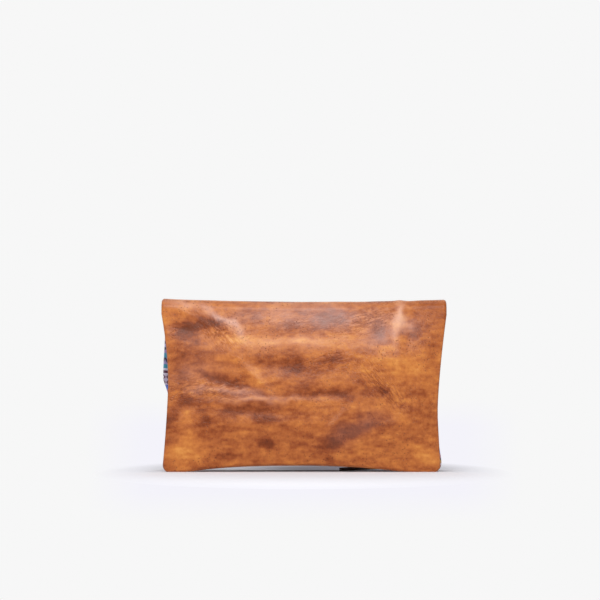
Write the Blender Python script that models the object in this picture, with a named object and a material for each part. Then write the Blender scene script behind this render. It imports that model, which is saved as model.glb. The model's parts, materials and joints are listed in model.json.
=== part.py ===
"""Fold-over leather clutch, standing folded with its leather back towards -Y.

Metres, +Z up. The pouch is drawn flat, as length s from the bottom seam, place x across
and height h off the middle surface, and then bent over the fold onto its side view.
"""
import math

import bmesh
import bpy
from mathutils import Matrix, Vector

# Pouch, folded
HEIGHT = 0.173
FOLD_WIDTH = 0.142
BODY_LEAN = math.radians(5.5)
FLAP_LEAN = math.radians(6.5)
FOLD_RADIUS = 0.0065
FOLD_SAG = 0.0036
FOLD_TILT = 0.0008
FOLD_HALF = 0.0040
BODY_HALF = 0.0120
FLAP_HALF = 0.0062
MOUTH_HALF = 0.0072
EDGE_ROLL = 0.0030
MOUTH_HEIGHT = 0.0105
FLOOR_PRESS = 0.0010
ARCH_RISE = 0.0070
ARCH_FADE = 0.060
ARCH_IN = (0.021, 0.036)
ARCH_POWER = (2.8, 2.0)
CORNER_RADIUS = 0.0085
EAR_START_IN = 0.024
EAR_FULL_IN = 0.016
EAR_PRESS = 0.0006

# How far the left and right edges are drawn in from the width of the fold
BODY_WAIST_IN = (0.0073, 0.0095)
BODY_BASE_IN = (0.0018, 0.0068)
FLAP_WAIST_IN = (0.0055, 0.0090)
FLAP_BASE_IN = (0.0040, 0.0030)
FLAP_BULGE = 0.0053
FLAP_BULGE_ABOVE = 0.050
FLAP_BULGE_BELOW = 0.012

# Shares of a run over which the edges and the stuffing come and go
FLAP_BULGE_SHARE = 0.543
FOOT_REACH = (0.58, 0.34)
FOOT_POWER = (1.6, 1.2)
HEAD_START = (0.50, 0.38)
HEAD_SPAN = (0.46, 0.58)
HEAD_POWER = (2.0, 1.4)
FLAP_FOOT_START = 0.75
FLAP_HEAD_REACH = 0.35
BELLY_FOOT = 0.30
BELLY_HEAD = 0.32
FLAP_FILL_RUN = 0.045
MOUTH_SET = 0.045
MOUTH_SET_RUN = 0.030
MOUTH_SIDE = 0.08

# Sheet goods
LEATHER = 0.0014
TEXTILE = 0.0011
LINING = 0.0006
LINING_SLACK = 0.0009
TAPE = 0.0006
GAP = 0.0003
LEATHER_PAST_FOLD = 0.032

# Zip
CHAIN_START_IN = 0.0198
CHAIN_END_IN = 0.0112
TOOTH_PITCH = 0.0030
TOOTH_THICK = 0.0018
TOOTH_ROOT = 0.0016
TOOTH_REACH = 0.0009
TOOTH_TAPER = 0.80
BEAD_WIDTH = 0.0029
TAPE_END_IN = 0.001
TAPE_BEND = 0.0049
TAPE_LEG = 0.009
LINING_START = 0.005
LINING_CLOSE = 0.014
LINING_SIDE_IN = 0.006
LINING_FOOT_SHARE = 0.45
STOP_LENGTH = 0.0030
STOP_BEVEL = 0.0003

# Slider
SLIDER_LENGTH = 0.011
SLIDER_HALF = 0.0044
PLATE_THICK = 0.0012
PLATE_BEVEL = 0.0004
FLANGE_WIDTH = 0.0011
BRIDGE_HALF = 0.0010
BRIDGE_THICK = 0.0011
WINDOW_HEIGHT = 0.0021
WINDOW_LENGTH = 0.0029
DIAMOND_HALF = 0.0013
DIAMOND_LENGTH = 0.0046
DIAMOND_NOSE = 0.0012
DIAMOND_SETBACK = 0.0002
BRIDGE_FLARE = 0.0006
BRIDGE_SPLAY = 0.0002
BRIDGE_CORNER = 0.0005

# Pull
WIRE = 0.0014
LINK_LENGTH = 0.012
LINK_NARROW = 0.0023
LINK_WIDE = 0.0056
LINK_CORNER = 0.0011
LINK_PITCH = math.radians(16.0)
PULL_YAW = math.radians(22.0)
STRAP_LENGTH = 0.065
STRAP_WIDTH = 0.008
STRAP_PLY = 0.0013
STRAP_TIP_RADIUS = 0.0032
STRAP_LOOP_RUN = 1.9
STRAP_LOOP_WRAP = math.radians(150.0)
STRAP_LOOP_WRAP_OUTER = math.radians(127.5)
STRAP_LOOP_STEPS = 7
STRAP_PITCH = math.radians(1.6)
RIVET_PLACE = 0.0085
RIVET_HEAD = 0.0024
RIVET_HEAD_THICK = 0.0006
RIVET_SHANK = 0.0010

# Worked out from the sizes above
FOLD_CENTRE = HEIGHT - FOLD_RADIUS - FOLD_HALF
BODY_RUN = (FOLD_CENTRE + FOLD_RADIUS * math.sin(BODY_LEAN) + FLOOR_PRESS) / math.cos(BODY_LEAN)
FOLD_TURN = math.pi - BODY_LEAN - FLAP_LEAN
FOLD_RUN = FOLD_RADIUS * FOLD_TURN
FLAP_RUN = (FOLD_CENTRE + FOLD_RADIUS * math.sin(FLAP_LEAN) - MOUTH_HEIGHT) / math.cos(FLAP_LEAN)
FLAP_START = BODY_RUN + FOLD_RUN
MOUTH = FLAP_START + FLAP_RUN
EAR_DROP = (MOUTH_HEIGHT + EAR_PRESS) / math.cos(FLAP_LEAN)
TEXTILE_START = FLAP_START + LEATHER_PAST_FOLD
FLAP_BULGE_HEIGHT = HEIGHT * FLAP_BULGE_SHARE
EAR_START = FOLD_WIDTH - EAR_START_IN
EAR_FULL = FOLD_WIDTH - EAR_FULL_IN
CHAIN_START = CHAIN_START_IN - EAR_START
CHAIN_END = EAR_START - CHAIN_END_IN
TAPE_REACH = EAR_START - TAPE_END_IN
CHANNEL = TOOTH_THICK / 2 + GAP
PLATE_FACE = CHANNEL + PLATE_THICK
SLIDER_BACK = CHAIN_END - SLIDER_LENGTH / 2
SLIDER_FRONT = SLIDER_BACK + SLIDER_LENGTH
BAR_X = SLIDER_BACK + SLIDER_LENGTH / 2 - 0.0003
BAR_DEPTH = PLATE_FACE + WINDOW_HEIGHT / 2

# Places of the rows and columns of the sheets, measured inwards from an edge
ROLL_STEPS = (0.0, 0.134, 0.5, 1.0)
OUTER_THIRD = EAR_START * 0.76
INNER_THIRD = EAR_START * 0.41
HALF_COLUMNS = (INNER_THIRD, OUTER_THIRD, EAR_START, EAR_FULL)
INNER_COLUMNS = tuple(-place for place in reversed(HALF_COLUMNS)) + (0.0,) + HALF_COLUMNS
BODY_ROWS = tuple(BODY_RUN * share for share in (0.055, 0.13, 0.25, 0.39, 0.54, 0.69, 0.83, 0.92))
FOLD_STEPS = 6
FLAP_ROWS = (0.21, 0.42, 0.52, 0.61, 0.80, 1.0)
MOUTH_ROWS = (0.034, 0.020, 0.009)


def smooth(value):
    """Ease from 0 to 1 as value goes from 0 to 1."""
    value = min(max(value, 0.0), 1.0)
    return value * value * (3.0 - 2.0 * value)


def mix(first, second, share):
    return first + (second - first) * share


def quarter(value):
    """Height of a quarter circle as value goes from 0 at its foot to 1 at its top."""
    value = min(max(value, 0.0), 1.0)
    return math.sqrt(1.0 - (1.0 - value) ** 2)


def path(s):
    """Place (y, z) and outward normal (y, z) of the middle surface at length s."""
    if s < BODY_RUN:
        turn = math.pi - BODY_LEAN
        slide = BODY_RUN - s
        along = (-math.sin(BODY_LEAN), -math.cos(BODY_LEAN))
    elif s < FLAP_START:
        turn = math.pi - BODY_LEAN - (s - BODY_RUN) / FOLD_RADIUS
        slide = 0.0
        along = (0.0, 0.0)
    else:
        turn = FLAP_LEAN
        slide = s - FLAP_START
        along = (math.sin(FLAP_LEAN), -math.cos(FLAP_LEAN))
    normal = (math.cos(turn), math.sin(turn))
    y = FOLD_RADIUS * normal[0] + along[0] * slide
    z = FOLD_CENTRE + FOLD_RADIUS * normal[1] + along[1] * slide
    return y, z, normal


def bend(point):
    """World place of a flat pouch point (x across, s along, h off the middle surface)."""
    x, s, h = point
    y, z, normal = path(s)
    y += normal[0] * h
    z += normal[1] * h
    high = max(0.0, (z - HEIGHT / 4) / (HEIGHT * 3 / 4))
    across = x / FOLD_WIDTH
    z -= high * (FOLD_SAG * max(0.0, 1.0 - across ** 2) + FOLD_TILT * (1.0 + across) / 2)
    return Vector((x, y, max(z, 0.0)))


def half_width(s, side):
    """Distance from the middle to the side seam at length s, corners left square."""
    if s < BODY_RUN:
        rise = s / BODY_RUN
        waist = BODY_WAIST_IN[side]
        foot = max(0.0, 1.0 - rise / FOOT_REACH[side]) ** FOOT_POWER[side]
        head = min(1.0, max(0.0, (rise - HEAD_START[side]) / HEAD_SPAN[side])) ** HEAD_POWER[side]
        return FOLD_WIDTH - waist + (waist - BODY_BASE_IN[side]) * foot + waist * head
    if s < FLAP_START:
        return FOLD_WIDTH
    fall = (s - FLAP_START) / FLAP_RUN
    waist = FLAP_WAIST_IN[side]
    foot = max(0.0, (fall - FLAP_FOOT_START) / (1.0 - FLAP_FOOT_START))
    head = max(0.0, 1.0 - fall / FLAP_HEAD_REACH) ** 2
    width = FOLD_WIDTH - waist + (waist - FLAP_BASE_IN[side]) * foot + waist * head
    if side == 0:
        above = path(s)[1] - FLAP_BULGE_HEIGHT
        spread = FLAP_BULGE_ABOVE if above > 0 else FLAP_BULGE_BELOW
        width += FLAP_BULGE * math.exp(-(above / spread) ** 2) * (1.0 - head)
    return width


def corner_cut(distance):
    """How far a rounded corner draws the side in, at a distance from the end seam."""
    inside = max(0.0, CORNER_RADIUS - distance)
    return CORNER_RADIUS - math.sqrt(CORNER_RADIUS ** 2 - inside ** 2)


def half_height(s, x):
    """Half thickness of the stuffed pouch away from its seams."""
    side = 0 if x < 0 else 1
    share = min(1.0, abs(x) / (half_width(s, side) - EDGE_ROLL))
    pillow = 1.0 - share ** 3
    if s < BODY_RUN:
        rise = s / BODY_RUN
        belly = smooth(rise / BELLY_FOOT) * smooth((1.0 - rise) / BELLY_HEAD)
        middle = FOLD_HALF + (BODY_HALF - FOLD_HALF) * belly
    elif s < FLAP_START:
        middle = FOLD_HALF
    else:
        middle = mix(FOLD_HALF, FLAP_HALF, smooth((s - FLAP_START) / FLAP_FILL_RUN))
    height = EDGE_ROLL + (middle - EDGE_ROLL) * pillow
    plateau = EDGE_ROLL + (MOUTH_HALF - EDGE_ROLL) * smooth((1.0 - share) / MOUTH_SIDE)
    return mix(height, plateau, smooth((s - (MOUTH - MOUTH_SET)) / MOUTH_SET_RUN))


def arch(x):
    """Rise of the bottom edge between its two corners."""
    side = 0 if x < 0 else 1
    share = abs(x) / (FOLD_WIDTH - ARCH_IN[side])
    return ARCH_RISE * max(0.0, 1.0 - share ** ARCH_POWER[side])


def ear(x):
    """0 where the mouth is open and 1 in the sewn corners beside it."""
    return smooth((abs(x) - EAR_START) / (EAR_FULL - EAR_START))


def columns():
    """Each column as its side, its place on that side and its share of the edge roll."""
    left = [(0, None, step) for step in ROLL_STEPS]
    right = [(1, None, step) for step in reversed(ROLL_STEPS)]
    middle = [(0 if place < 0 else 1, place, 1.0) for place in INNER_COLUMNS]
    return left + middle + right


def row_of_points(start, end_gap, closed_end):
    """One row of flat points. start(x) gives the length; end_gap(x) the way to the end seam."""
    row = []
    for side, place, step in columns():
        nominal = place if place is not None else (-1, 1)[side] * FOLD_WIDTH
        s = start(nominal)
        gap_to_end = end_gap(nominal)
        full = half_width(s, side)
        cut = corner_cut(gap_to_end + EAR_DROP * (1.0 - ear(nominal)) * closed_end)
        reach = full - cut
        if place is None:
            x = (-1, 1)[side] * (reach - EDGE_ROLL * step)
        elif abs(place) > EAR_START:
            share = (abs(place) - EAR_START) / (full - EAR_START)
            x = (-1, 1)[side] * mix(EAR_START, reach, share)
        else:
            x = place
        height = half_height(s, nominal) if place is not None else half_height(s, x)
        end_roll = quarter(gap_to_end / EDGE_ROLL)
        if closed_end:
            end_roll = mix(1.0, end_roll, ear(nominal))
        row.append(Vector((x, s, GAP / 2 + height * quarter(step) * end_roll)))
    return row


def bottom_start(distance):
    """Length of each column of a row at a distance from the arched bottom seam."""
    return lambda x: distance + arch(x) * max(0.0, 1.0 - distance / ARCH_FADE)


def bottom_row(distance):
    return row_of_points(bottom_start(distance), lambda x: distance, 0.0)


def plain_row(s):
    return row_of_points(lambda x: s, lambda x: 1.0, 0.0)


def mouth_row(distance):
    """Row at a distance from the lower edge of the flap, whose corners hang lower."""
    reach = MOUTH_ROWS[0]

    def start(x):
        lowest = MOUTH + GAP * 2 + EAR_DROP * ear(x)
        top = MOUTH - reach
        return mix(lowest, top, distance / reach)
    return row_of_points(start, lambda x: distance, 1.0)


def body_rows():
    rows = [bottom_row(EDGE_ROLL * step) for step in ROLL_STEPS]
    rows += [bottom_row(place) for place in BODY_ROWS]
    return rows


def fold_places():
    return [mix(BODY_RUN, FLAP_START, index / FOLD_STEPS) for index in range(FOLD_STEPS + 1)]


def flap_places():
    """Lengths of the rows down the flap, from the fold to the turn of its mouth."""
    last = MOUTH - MOUTH_ROWS[0]
    places = [mix(FLAP_START, TEXTILE_START, 0.5), TEXTILE_START]
    return places + [mix(TEXTILE_START, last, share) for share in FLAP_ROWS]


def mouth_rows():
    """Rows from the flap round its corners to its edge."""
    distances = list(MOUTH_ROWS[1:]) + [EDGE_ROLL * step for step in reversed(ROLL_STEPS)]
    return [mouth_row(distance) for distance in distances]


def material(name, colour, roughness, metallic=0.0):
    made = bpy.data.materials.new(name)
    made.use_nodes = True
    shader = made.node_tree.nodes["Principled BSDF"]
    shader.inputs["Base Color"].default_value = (*colour, 1.0)
    shader.inputs["Roughness"].default_value = roughness
    shader.inputs["Metallic"].default_value = metallic
    return made


def add_object(name, bm, finish, origin=Vector((0, 0, 0)), smooth_angle=40.0):
    """Make an object from a bmesh in world space, with its origin at a given place."""
    bmesh.ops.recalc_face_normals(bm, faces=bm.faces)
    if bm.calc_volume(signed=True) < 0:
        bmesh.ops.reverse_faces(bm, faces=bm.faces)
    mesh = bpy.data.meshes.new(name)
    bm.transform(Matrix.Translation(-origin))
    bm.to_mesh(mesh)
    bm.free()
    mesh.shade_smooth()
    mesh.set_sharp_from_angle(angle=math.radians(smooth_angle))
    mesh.materials.append(finish)
    made = bpy.data.objects.new(name, mesh)
    made.location = origin
    bpy.context.scene.collection.objects.link(made)
    return made


def grid_faces(bm, grid, loop=False):
    """Quads between the rows of a grid of vertices."""
    for upper, lower in zip(grid, grid[1:]):
        count = len(upper)
        for index in range(count if loop else count - 1):
            after = (index + 1) % count
            bm.faces.new((upper[index], upper[after], lower[after], lower[index]))


def panel(name, rows, side, thickness, finish):
    """A bent panel of sheet goods: outer skin, inner skin and the rim between them."""
    bm = bmesh.new()
    outer = [[bm.verts.new(point) for point in row] for row in rows]
    grid_faces(bm, outer)
    bm.normal_update()
    if outer[len(outer) // 2][len(outer[0]) // 2].normal.z < 0:
        bmesh.ops.reverse_faces(bm, faces=bm.faces)
        bm.normal_update()
    inner = []
    for row in outer:
        inner_row = []
        for vert in row:
            place = vert.co - vert.normal * thickness
            place.z = max(place.z, GAP / 2)
            inner_row.append(place)
        inner.append(inner_row)
    keep_ends_square(inner, rows)
    inner = [[bm.verts.new(place) for place in row] for row in inner]
    grid_faces(bm, inner)
    rim = [border(outer), border(inner)]
    grid_faces(bm, rim, loop=True)
    for vert in bm.verts:
        vert.co.z *= side
        vert.co = bend(vert.co)
    return add_object(name, bm, finish)


def border(grid):
    """Vertices round the edge of a grid, in order."""
    top = list(grid[0])
    right = [row[-1] for row in grid[1:]]
    bottom = list(reversed(grid[-1][:-1]))
    left = [row[0] for row in reversed(grid[1:-1])]
    return top + right + bottom + left


def keep_ends_square(inner, rows):
    """Cut the inner skin off square where a panel ends in an open edge."""
    for index in (0, -1):
        for place, outer in zip(inner[index], rows[index]):
            if outer.z > EDGE_ROLL * 0.9:
                place.y = outer.y


def lining_ring(start, squeeze, shrink, flatten=1.0):
    """Ring of flat points round the lining bag, on the same columns as the panels."""
    slack = mix(LINING_SLACK, GAP * 2 + TAPE, squeeze)
    places = []
    for side, edge in ((0, -1), (1, 1)):
        wide = half_width(start(0.0), side) - EDGE_ROLL - GAP * 2
        wide = mix(wide, EAR_START - LINING_SIDE_IN, squeeze) - shrink
        inner = [place for place in INNER_COLUMNS if place * edge > 0]
        fit = mix(1.0, wide / (EAR_FULL + EDGE_ROLL), squeeze)
        side_places = [place * fit for place in inner]
        places.append(side_places + [edge * wide] if edge > 0 else [edge * wide] + side_places)
    across = places[0] + [0.0] + places[1]
    upper = []
    for index, x in enumerate(across):
        s = start(x)
        height = half_height(s, x) - LEATHER - slack - shrink
        if index in (0, len(across) - 1):
            height = 0.0
        upper.append(Vector((x, s, height * flatten)))
    lower = [Vector((point.x, point.y, -point.z)) for point in reversed(upper[1:-1])]
    return upper + lower


def lining_bag(finish):
    """The cloth bag, a closed-bottomed tube that follows the pouch to its mouth."""
    foot = EDGE_ROLL + LEATHER
    skins = []
    for shrink in (0.0, LINING):
        skin = [lining_ring(bottom_start(foot + shrink), 0.0, shrink, LINING_FOOT_SHARE)]
        skin += [lining_ring(bottom_start(place), 0.0, shrink) for place in BODY_ROWS]
        lengths = fold_places() + flap_places()
        skin += [lining_ring(lambda x, s=s: s, 0.0, shrink) for s in lengths]
        for distance in MOUTH_ROWS[1:] + (LINING_START,):
            share = smooth((MOUTH_ROWS[0] - distance) / LINING_CLOSE)
            skin.append(lining_ring(lambda x, s=MOUTH - distance: s, share, shrink))
        skins.append(skin)
    bm = bmesh.new()
    grids = [[[bm.verts.new(point) for point in ring] for ring in skin] for skin in skins]
    for grid in grids:
        grid_faces(bm, grid, loop=True)
        close_foot(bm, grid[0])
    grid_faces(bm, [grids[0][-1], grids[1][-1]], loop=True)
    for vert in bm.verts:
        vert.co = bend(vert.co)
    return add_object("lining_bag", bm, finish)


def close_foot(bm, ring):
    """Close the flat foot of the lining with quads from face to face."""
    half = len(ring) // 2
    for index in range(half):
        left = ring[index]
        right = ring[index + 1]
        below_left = ring[-index] if index else ring[0]
        below_right = ring[-(index + 1)]
        corners = []
        for vert in (left, right, below_right, below_left):
            if vert not in corners:
                corners.append(vert)
        bm.faces.new(corners)


def prism(outline, place, low, high):
    """Closed prism of an outline. place(a, b, c) turns outline and depth into flat points."""
    bm = bmesh.new()
    ends = []
    for depth in (low, high):
        ends.append([bm.verts.new(place(a, b, depth)) for a, b in outline])
    grid_faces(bm, ends, loop=True)
    bm.faces.new(ends[0])
    bm.faces.new(ends[1])
    return bm


def bend_all(bm):
    for vert in bm.verts:
        vert.co = bend(vert.co)
    return bm


def tape(name, side, finish):
    """Woven tape: flat beside the teeth, then turned up between panel and lining."""
    half = TAPE / 2
    edge = BEAD_WIDTH + GAP
    outer = TAPE_BEND + TAPE
    outline = [(edge, -half), (TAPE_BEND, -half), (TAPE_BEND, -TAPE_LEG)]
    outline += [(outer, -TAPE_LEG), (outer, half), (edge, half)]

    def place(across, down, x):
        return Vector((x, MOUTH + down, side * across))
    return add_object(name, bend_all(prism(outline, place, -TAPE_REACH, TAPE_REACH)), finish)


def tooth_row(name, side, finish):
    """A row of teeth on its bead, which meshes with the other row half a pitch away."""
    root = TOOTH_PITCH / 2 - GAP
    head = root * TOOTH_TAPER
    count = int((CHAIN_END - CHAIN_START) / TOOTH_PITCH)
    shift = 0.0 if side > 0 else TOOTH_PITCH / 2
    edge = []
    for index in range(count):
        centre = CHAIN_END - TOOTH_PITCH * (index + 0.5) + shift - TOOTH_PITCH / 4
        edge.append((centre + root / 2 + GAP / 2, centre + head / 2, centre - head / 2,
                     centre - root / 2 - GAP / 2))
    bm = bmesh.new()

    def corner(x, across):
        low = bm.verts.new((x, MOUTH - TOOTH_THICK / 2, side * across))
        high = bm.verts.new((x, MOUTH + TOOTH_THICK / 2, side * across))
        return low, high

    def wall(first, second):
        bm.faces.new((first[0], first[1], second[1], second[0]))

    def caps(corners):
        bm.faces.new([pair[0] for pair in corners])
        bm.faces.new([pair[1] for pair in corners])

    last_root = None
    last_back = None
    for start, head_start, head_end, end in edge:
        root_in = corner(start, TOOTH_ROOT)
        root_out = corner(end, TOOTH_ROOT)
        tip_in = corner(head_start, -TOOTH_REACH)
        tip_out = corner(head_end, -TOOTH_REACH)
        back_in = corner(start, BEAD_WIDTH)
        back_out = corner(end, BEAD_WIDTH)
        if last_root is None:
            wall(root_in, back_in)
        else:
            wall(last_root, root_in)
            wall(last_back, back_in)
            caps((last_root, root_in, back_in, last_back))
        wall(root_in, tip_in)
        wall(tip_in, tip_out)
        wall(tip_out, root_out)
        wall(back_in, back_out)
        caps((root_in, tip_in, tip_out, root_out))
        caps((root_in, root_out, back_out, back_in))
        last_root = root_out
        last_back = back_out
    wall(last_root, last_back)
    return add_object(name, bend_all(bm), finish, smooth_angle=20.0)


def block(x_low, x_high, low, high, near, far, bevel):
    """Bevelled block in flat zip places: along x, down the flap and across it."""
    bm = bmesh.new()
    bmesh.ops.create_cube(bm, size=1.0)
    size = Vector((x_high - x_low, high - low, far - near))
    centre = Vector(((x_high + x_low) / 2, MOUTH + (high + low) / 2, (far + near) / 2))
    bmesh.ops.transform(bm, matrix=Matrix.Translation(centre) @ Matrix.Diagonal((*size, 1.0)),
                        verts=bm.verts)
    bmesh.ops.bevel(bm, geom=list(bm.edges), offset=bevel, segments=1, affect="EDGES")
    return bend_all(bm)


def stops(finish):
    """Two stops ahead of the slider and one that ties the rows at the open end."""
    thick = TOOTH_THICK / 2
    start = SLIDER_FRONT + GAP
    near = DIAMOND_HALF
    top = block(start, start + STOP_LENGTH, -thick, thick, near, BEAD_WIDTH, STOP_BEVEL)
    add_object("top_stop_outer", top, finish)
    top = block(start, start + STOP_LENGTH, -thick, thick, -BEAD_WIDTH, -near, STOP_BEVEL)
    add_object("top_stop_inner", top, finish)
    end = CHAIN_START - GAP
    bottom = block(end - STOP_LENGTH, end, -thick, thick, -BEAD_WIDTH, BEAD_WIDTH, STOP_BEVEL)
    add_object("bottom_stop", bottom, finish)


def plate(face):
    """One plate of the slider with its two flanges, drawn in at both ends."""
    slot = TAPE / 2 + GAP
    inner = SLIDER_HALF - FLANGE_WIDTH
    edge = PLATE_FACE - PLATE_BEVEL
    shape = [(-SLIDER_HALF, slot), (-SLIDER_HALF, edge), (-inner, PLATE_FACE), (inner, PLATE_FACE)]
    shape += [(SLIDER_HALF, edge), (SLIDER_HALF, slot), (inner, slot), (inner, CHANNEL)]
    shape += [(-inner, CHANNEL), (-inner, slot)]
    stations = ((0.0, 0.93), (0.12, 0.97), (0.55, 1.0), (0.85, 1.05), (1.0, 0.98))
    bm = bmesh.new()
    rings = []
    for share, wide in stations:
        x = SLIDER_BACK + SLIDER_LENGTH * share
        ring = []
        for across, down in shape:
            scale = wide if abs(across) == SLIDER_HALF else 1.0
            ring.append(bm.verts.new((x, MOUTH + face * down, across * scale)))
        rings.append(ring)
    grid_faces(bm, rings, loop=True)
    bm.faces.new(rings[0])
    bm.faces.new(rings[-1])
    return bend_all(bm)


def diamond():
    """The wedge between the plates that parts the two rows of teeth."""
    front = SLIDER_FRONT - DIAMOND_SETBACK
    tip = front - DIAMOND_LENGTH
    nose = tip + DIAMOND_NOSE
    shoulder = front - DIAMOND_NOSE
    outline = [(tip, 0.0), (nose, DIAMOND_HALF * 0.6), (shoulder, DIAMOND_HALF)]
    outline += [(front, DIAMOND_HALF * 0.7), (front, -DIAMOND_HALF * 0.7)]
    outline += [(shoulder, -DIAMOND_HALF), (nose, -DIAMOND_HALF * 0.6)]
    sunk = CHANNEL + PLATE_THICK / 2

    def place(x, across, down):
        return Vector((x, MOUTH + down, across))
    return bend_all(prism(outline, place, -sunk, sunk))


def bridge():
    """The arch on the outer plate that carries the link."""
    half = WINDOW_LENGTH / 2
    foot = PLATE_FACE - PLATE_THICK / 2
    roof = PLATE_FACE + WINDOW_HEIGHT
    top = roof + BRIDGE_THICK
    wide = half + BRIDGE_THICK
    knee = wide + BRIDGE_SPLAY
    flare = knee + BRIDGE_FLARE
    bend_start = roof - BRIDGE_CORNER
    outline = [(-flare, foot), (-knee, roof), (-half, top), (half, top), (knee, roof), (flare, foot)]
    outline += [(half + BRIDGE_SPLAY, foot), (half, bend_start), (half - BRIDGE_CORNER, roof)]
    outline += [(BRIDGE_CORNER - half, roof), (-half, bend_start), (-half - BRIDGE_SPLAY, foot)]

    def place(x, down, across):
        return Vector((BAR_X + x, MOUTH + down, across))
    return bend_all(prism(outline, place, -BRIDGE_HALF, BRIDGE_HALF))


def add_cutter(name, bm, finish):
    """An object that only shapes another one."""
    made = add_object(name, bm, finish)
    made.hide_render = True
    made.display_type = "WIRE"
    return made


def combine(target, tool, operation):
    change = target.modifiers.new(tool.name, "BOOLEAN")
    change.operation = operation
    change.solver = "EXACT"
    change.object = tool


def slider(finish):
    body = add_object("slider_body", plate(1), finish, smooth_angle=25.0)
    for name, bm in (("inner_plate", plate(-1)), ("diamond", diamond()), ("bridge", bridge())):
        combine(body, add_cutter(name, bm, finish), "UNION")
    return body


def pull_turn(pitch):
    """Turn of the pull: level is towards -X, yawed into the fold and pitched down."""
    return Matrix.Rotation(PULL_YAW, 4, "Z") @ Matrix.Rotation(-pitch, 4, "Y")


def bar_place():
    return bend(Vector((BAR_X, MOUTH + BAR_DEPTH, 0.0)))


def link_end_place():
    return bar_place() + (pull_turn(LINK_PITCH) @ Vector((-LINK_LENGTH, 0.0, 0.0)))


def pull_link(finish):
    """Closed wire link, narrow in the bridge and wide at the strap."""
    corners = ((0.0, -LINK_NARROW), (0.0, LINK_NARROW))
    corners += ((-LINK_LENGTH, LINK_WIDE), (-LINK_LENGTH, -LINK_WIDE))
    points = []
    for index, corner in enumerate(corners):
        here = Vector((*corner, 0.0))
        before = Vector((*corners[index - 1], 0.0))
        after = Vector((*corners[(index + 1) % 4], 0.0))
        first = here + (before - here).normalized() * LINK_CORNER
        last = here + (after - here).normalized() * LINK_CORNER
        points.append(first)
        points.append(first.lerp(last, 0.5).lerp(here, 0.4))
        points.append(last)
    curve = bpy.data.curves.new("pull_link", "CURVE")
    curve.dimensions = "3D"
    curve.bevel_depth = WIRE / 2
    curve.bevel_resolution = 1
    curve.materials.append(finish)
    spline = curve.splines.new("POLY")
    spline.points.add(len(points) - 1)
    for point, target in zip(spline.points, points):
        point.co = (*target, 1.0)
    spline.use_cyclic_u = True
    spline.use_smooth = True
    link = bpy.data.objects.new("pull_link", curve)
    link.matrix_world = Matrix.Translation(bar_place()) @ pull_turn(LINK_PITCH)
    bpy.context.scene.collection.objects.link(link)
    return link


def strap_outline():
    """Side view of the doubled strap round the link's wide bar, at the origin."""
    hole = WIRE / 2 + GAP
    outer = hole + STRAP_PLY
    half_slit = GAP / 2
    half = half_slit + STRAP_PLY
    steps = STRAP_LOOP_STEPS
    reach = STRAP_LOOP_WRAP
    outer_reach = STRAP_LOOP_WRAP_OUTER
    points = [(-STRAP_LENGTH, half_slit), (-STRAP_LENGTH, half), (-outer * STRAP_LOOP_RUN, half)]
    for index in range(steps + 1):
        angle = mix(outer_reach, -outer_reach, index / steps)
        points.append((outer * math.cos(angle), outer * math.sin(angle)))
    points += [(-outer * STRAP_LOOP_RUN, -half), (-STRAP_LENGTH, -half), (-STRAP_LENGTH, -half_slit)]
    points.append((-hole * STRAP_LOOP_RUN, -half_slit))
    for index in range(steps + 1):
        angle = mix(-reach, reach, index / steps)
        points.append((hole * math.cos(angle), hole * math.sin(angle)))
    points.append((-hole * STRAP_LOOP_RUN, half_slit))
    return points


def pull_strap(finish):
    """Doubled leather strap with a rounded tip, and a hole for its rivet."""
    half = STRAP_WIDTH / 2
    bm = bmesh.new()
    rings = []
    for share in (-1.0, -0.8, -0.45, 0.0, 0.45, 0.8, 1.0):
        across = half * share
        beyond = max(0.0, abs(across) - (half - STRAP_TIP_RADIUS))
        cut = STRAP_TIP_RADIUS - math.sqrt(max(0.0, STRAP_TIP_RADIUS ** 2 - beyond ** 2))
        ring = []
        for x, z in strap_outline():
            x = x + cut if x <= -STRAP_LENGTH else x
            ring.append(bm.verts.new((x, across, z)))
        rings.append(ring)
    grid_faces(bm, rings, loop=True)
    bm.faces.new(rings[0])
    bm.faces.new(rings[-1])
    place = Matrix.Translation(link_end_place()) @ pull_turn(STRAP_PITCH)
    bm.transform(place)
    strap = add_object("pull_strap", bm, finish, link_end_place())
    drill = bmesh.new()
    radius = RIVET_SHANK + GAP
    bmesh.ops.create_cone(drill, cap_ends=True, segments=12, radius1=radius, radius2=radius,
                          depth=STRAP_PLY * 4)
    drill.transform(place @ Matrix.Translation((-RIVET_PLACE, 0.0, 0.0)))
    combine(strap, add_cutter("rivet_hole", drill, finish), "DIFFERENCE")
    return strap


def strap_rivet(finish):
    """Turned rivet with a domed head on each face of the strap."""
    face = GAP / 2 + STRAP_PLY + GAP / 2
    top = face + RIVET_HEAD_THICK
    profile = [(0.0, top), (RIVET_HEAD * 0.7, top - 0.0001), (RIVET_HEAD, face + 0.00015)]
    profile += [(RIVET_HEAD, face), (RIVET_SHANK, face)]
    profile += [(radius, -height) for radius, height in reversed(profile)]
    bm = bmesh.new()
    verts = [bm.verts.new((radius, 0.0, height)) for radius, height in profile]
    edges = [bm.edges.new(pair) for pair in zip(verts, verts[1:])]
    bmesh.ops.spin(bm, geom=verts + edges, cent=(0, 0, 0), axis=(0, 0, 1), angle=math.tau,
                   steps=12, use_merge=True)
    bmesh.ops.remove_doubles(bm, verts=bm.verts, dist=0.00001)
    place = Matrix.Translation(link_end_place()) @ pull_turn(STRAP_PITCH)
    bm.transform(place @ Matrix.Translation((-RIVET_PLACE, 0.0, 0.0)))
    return add_object("strap_rivet", bm, finish, link_end_place())


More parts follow.
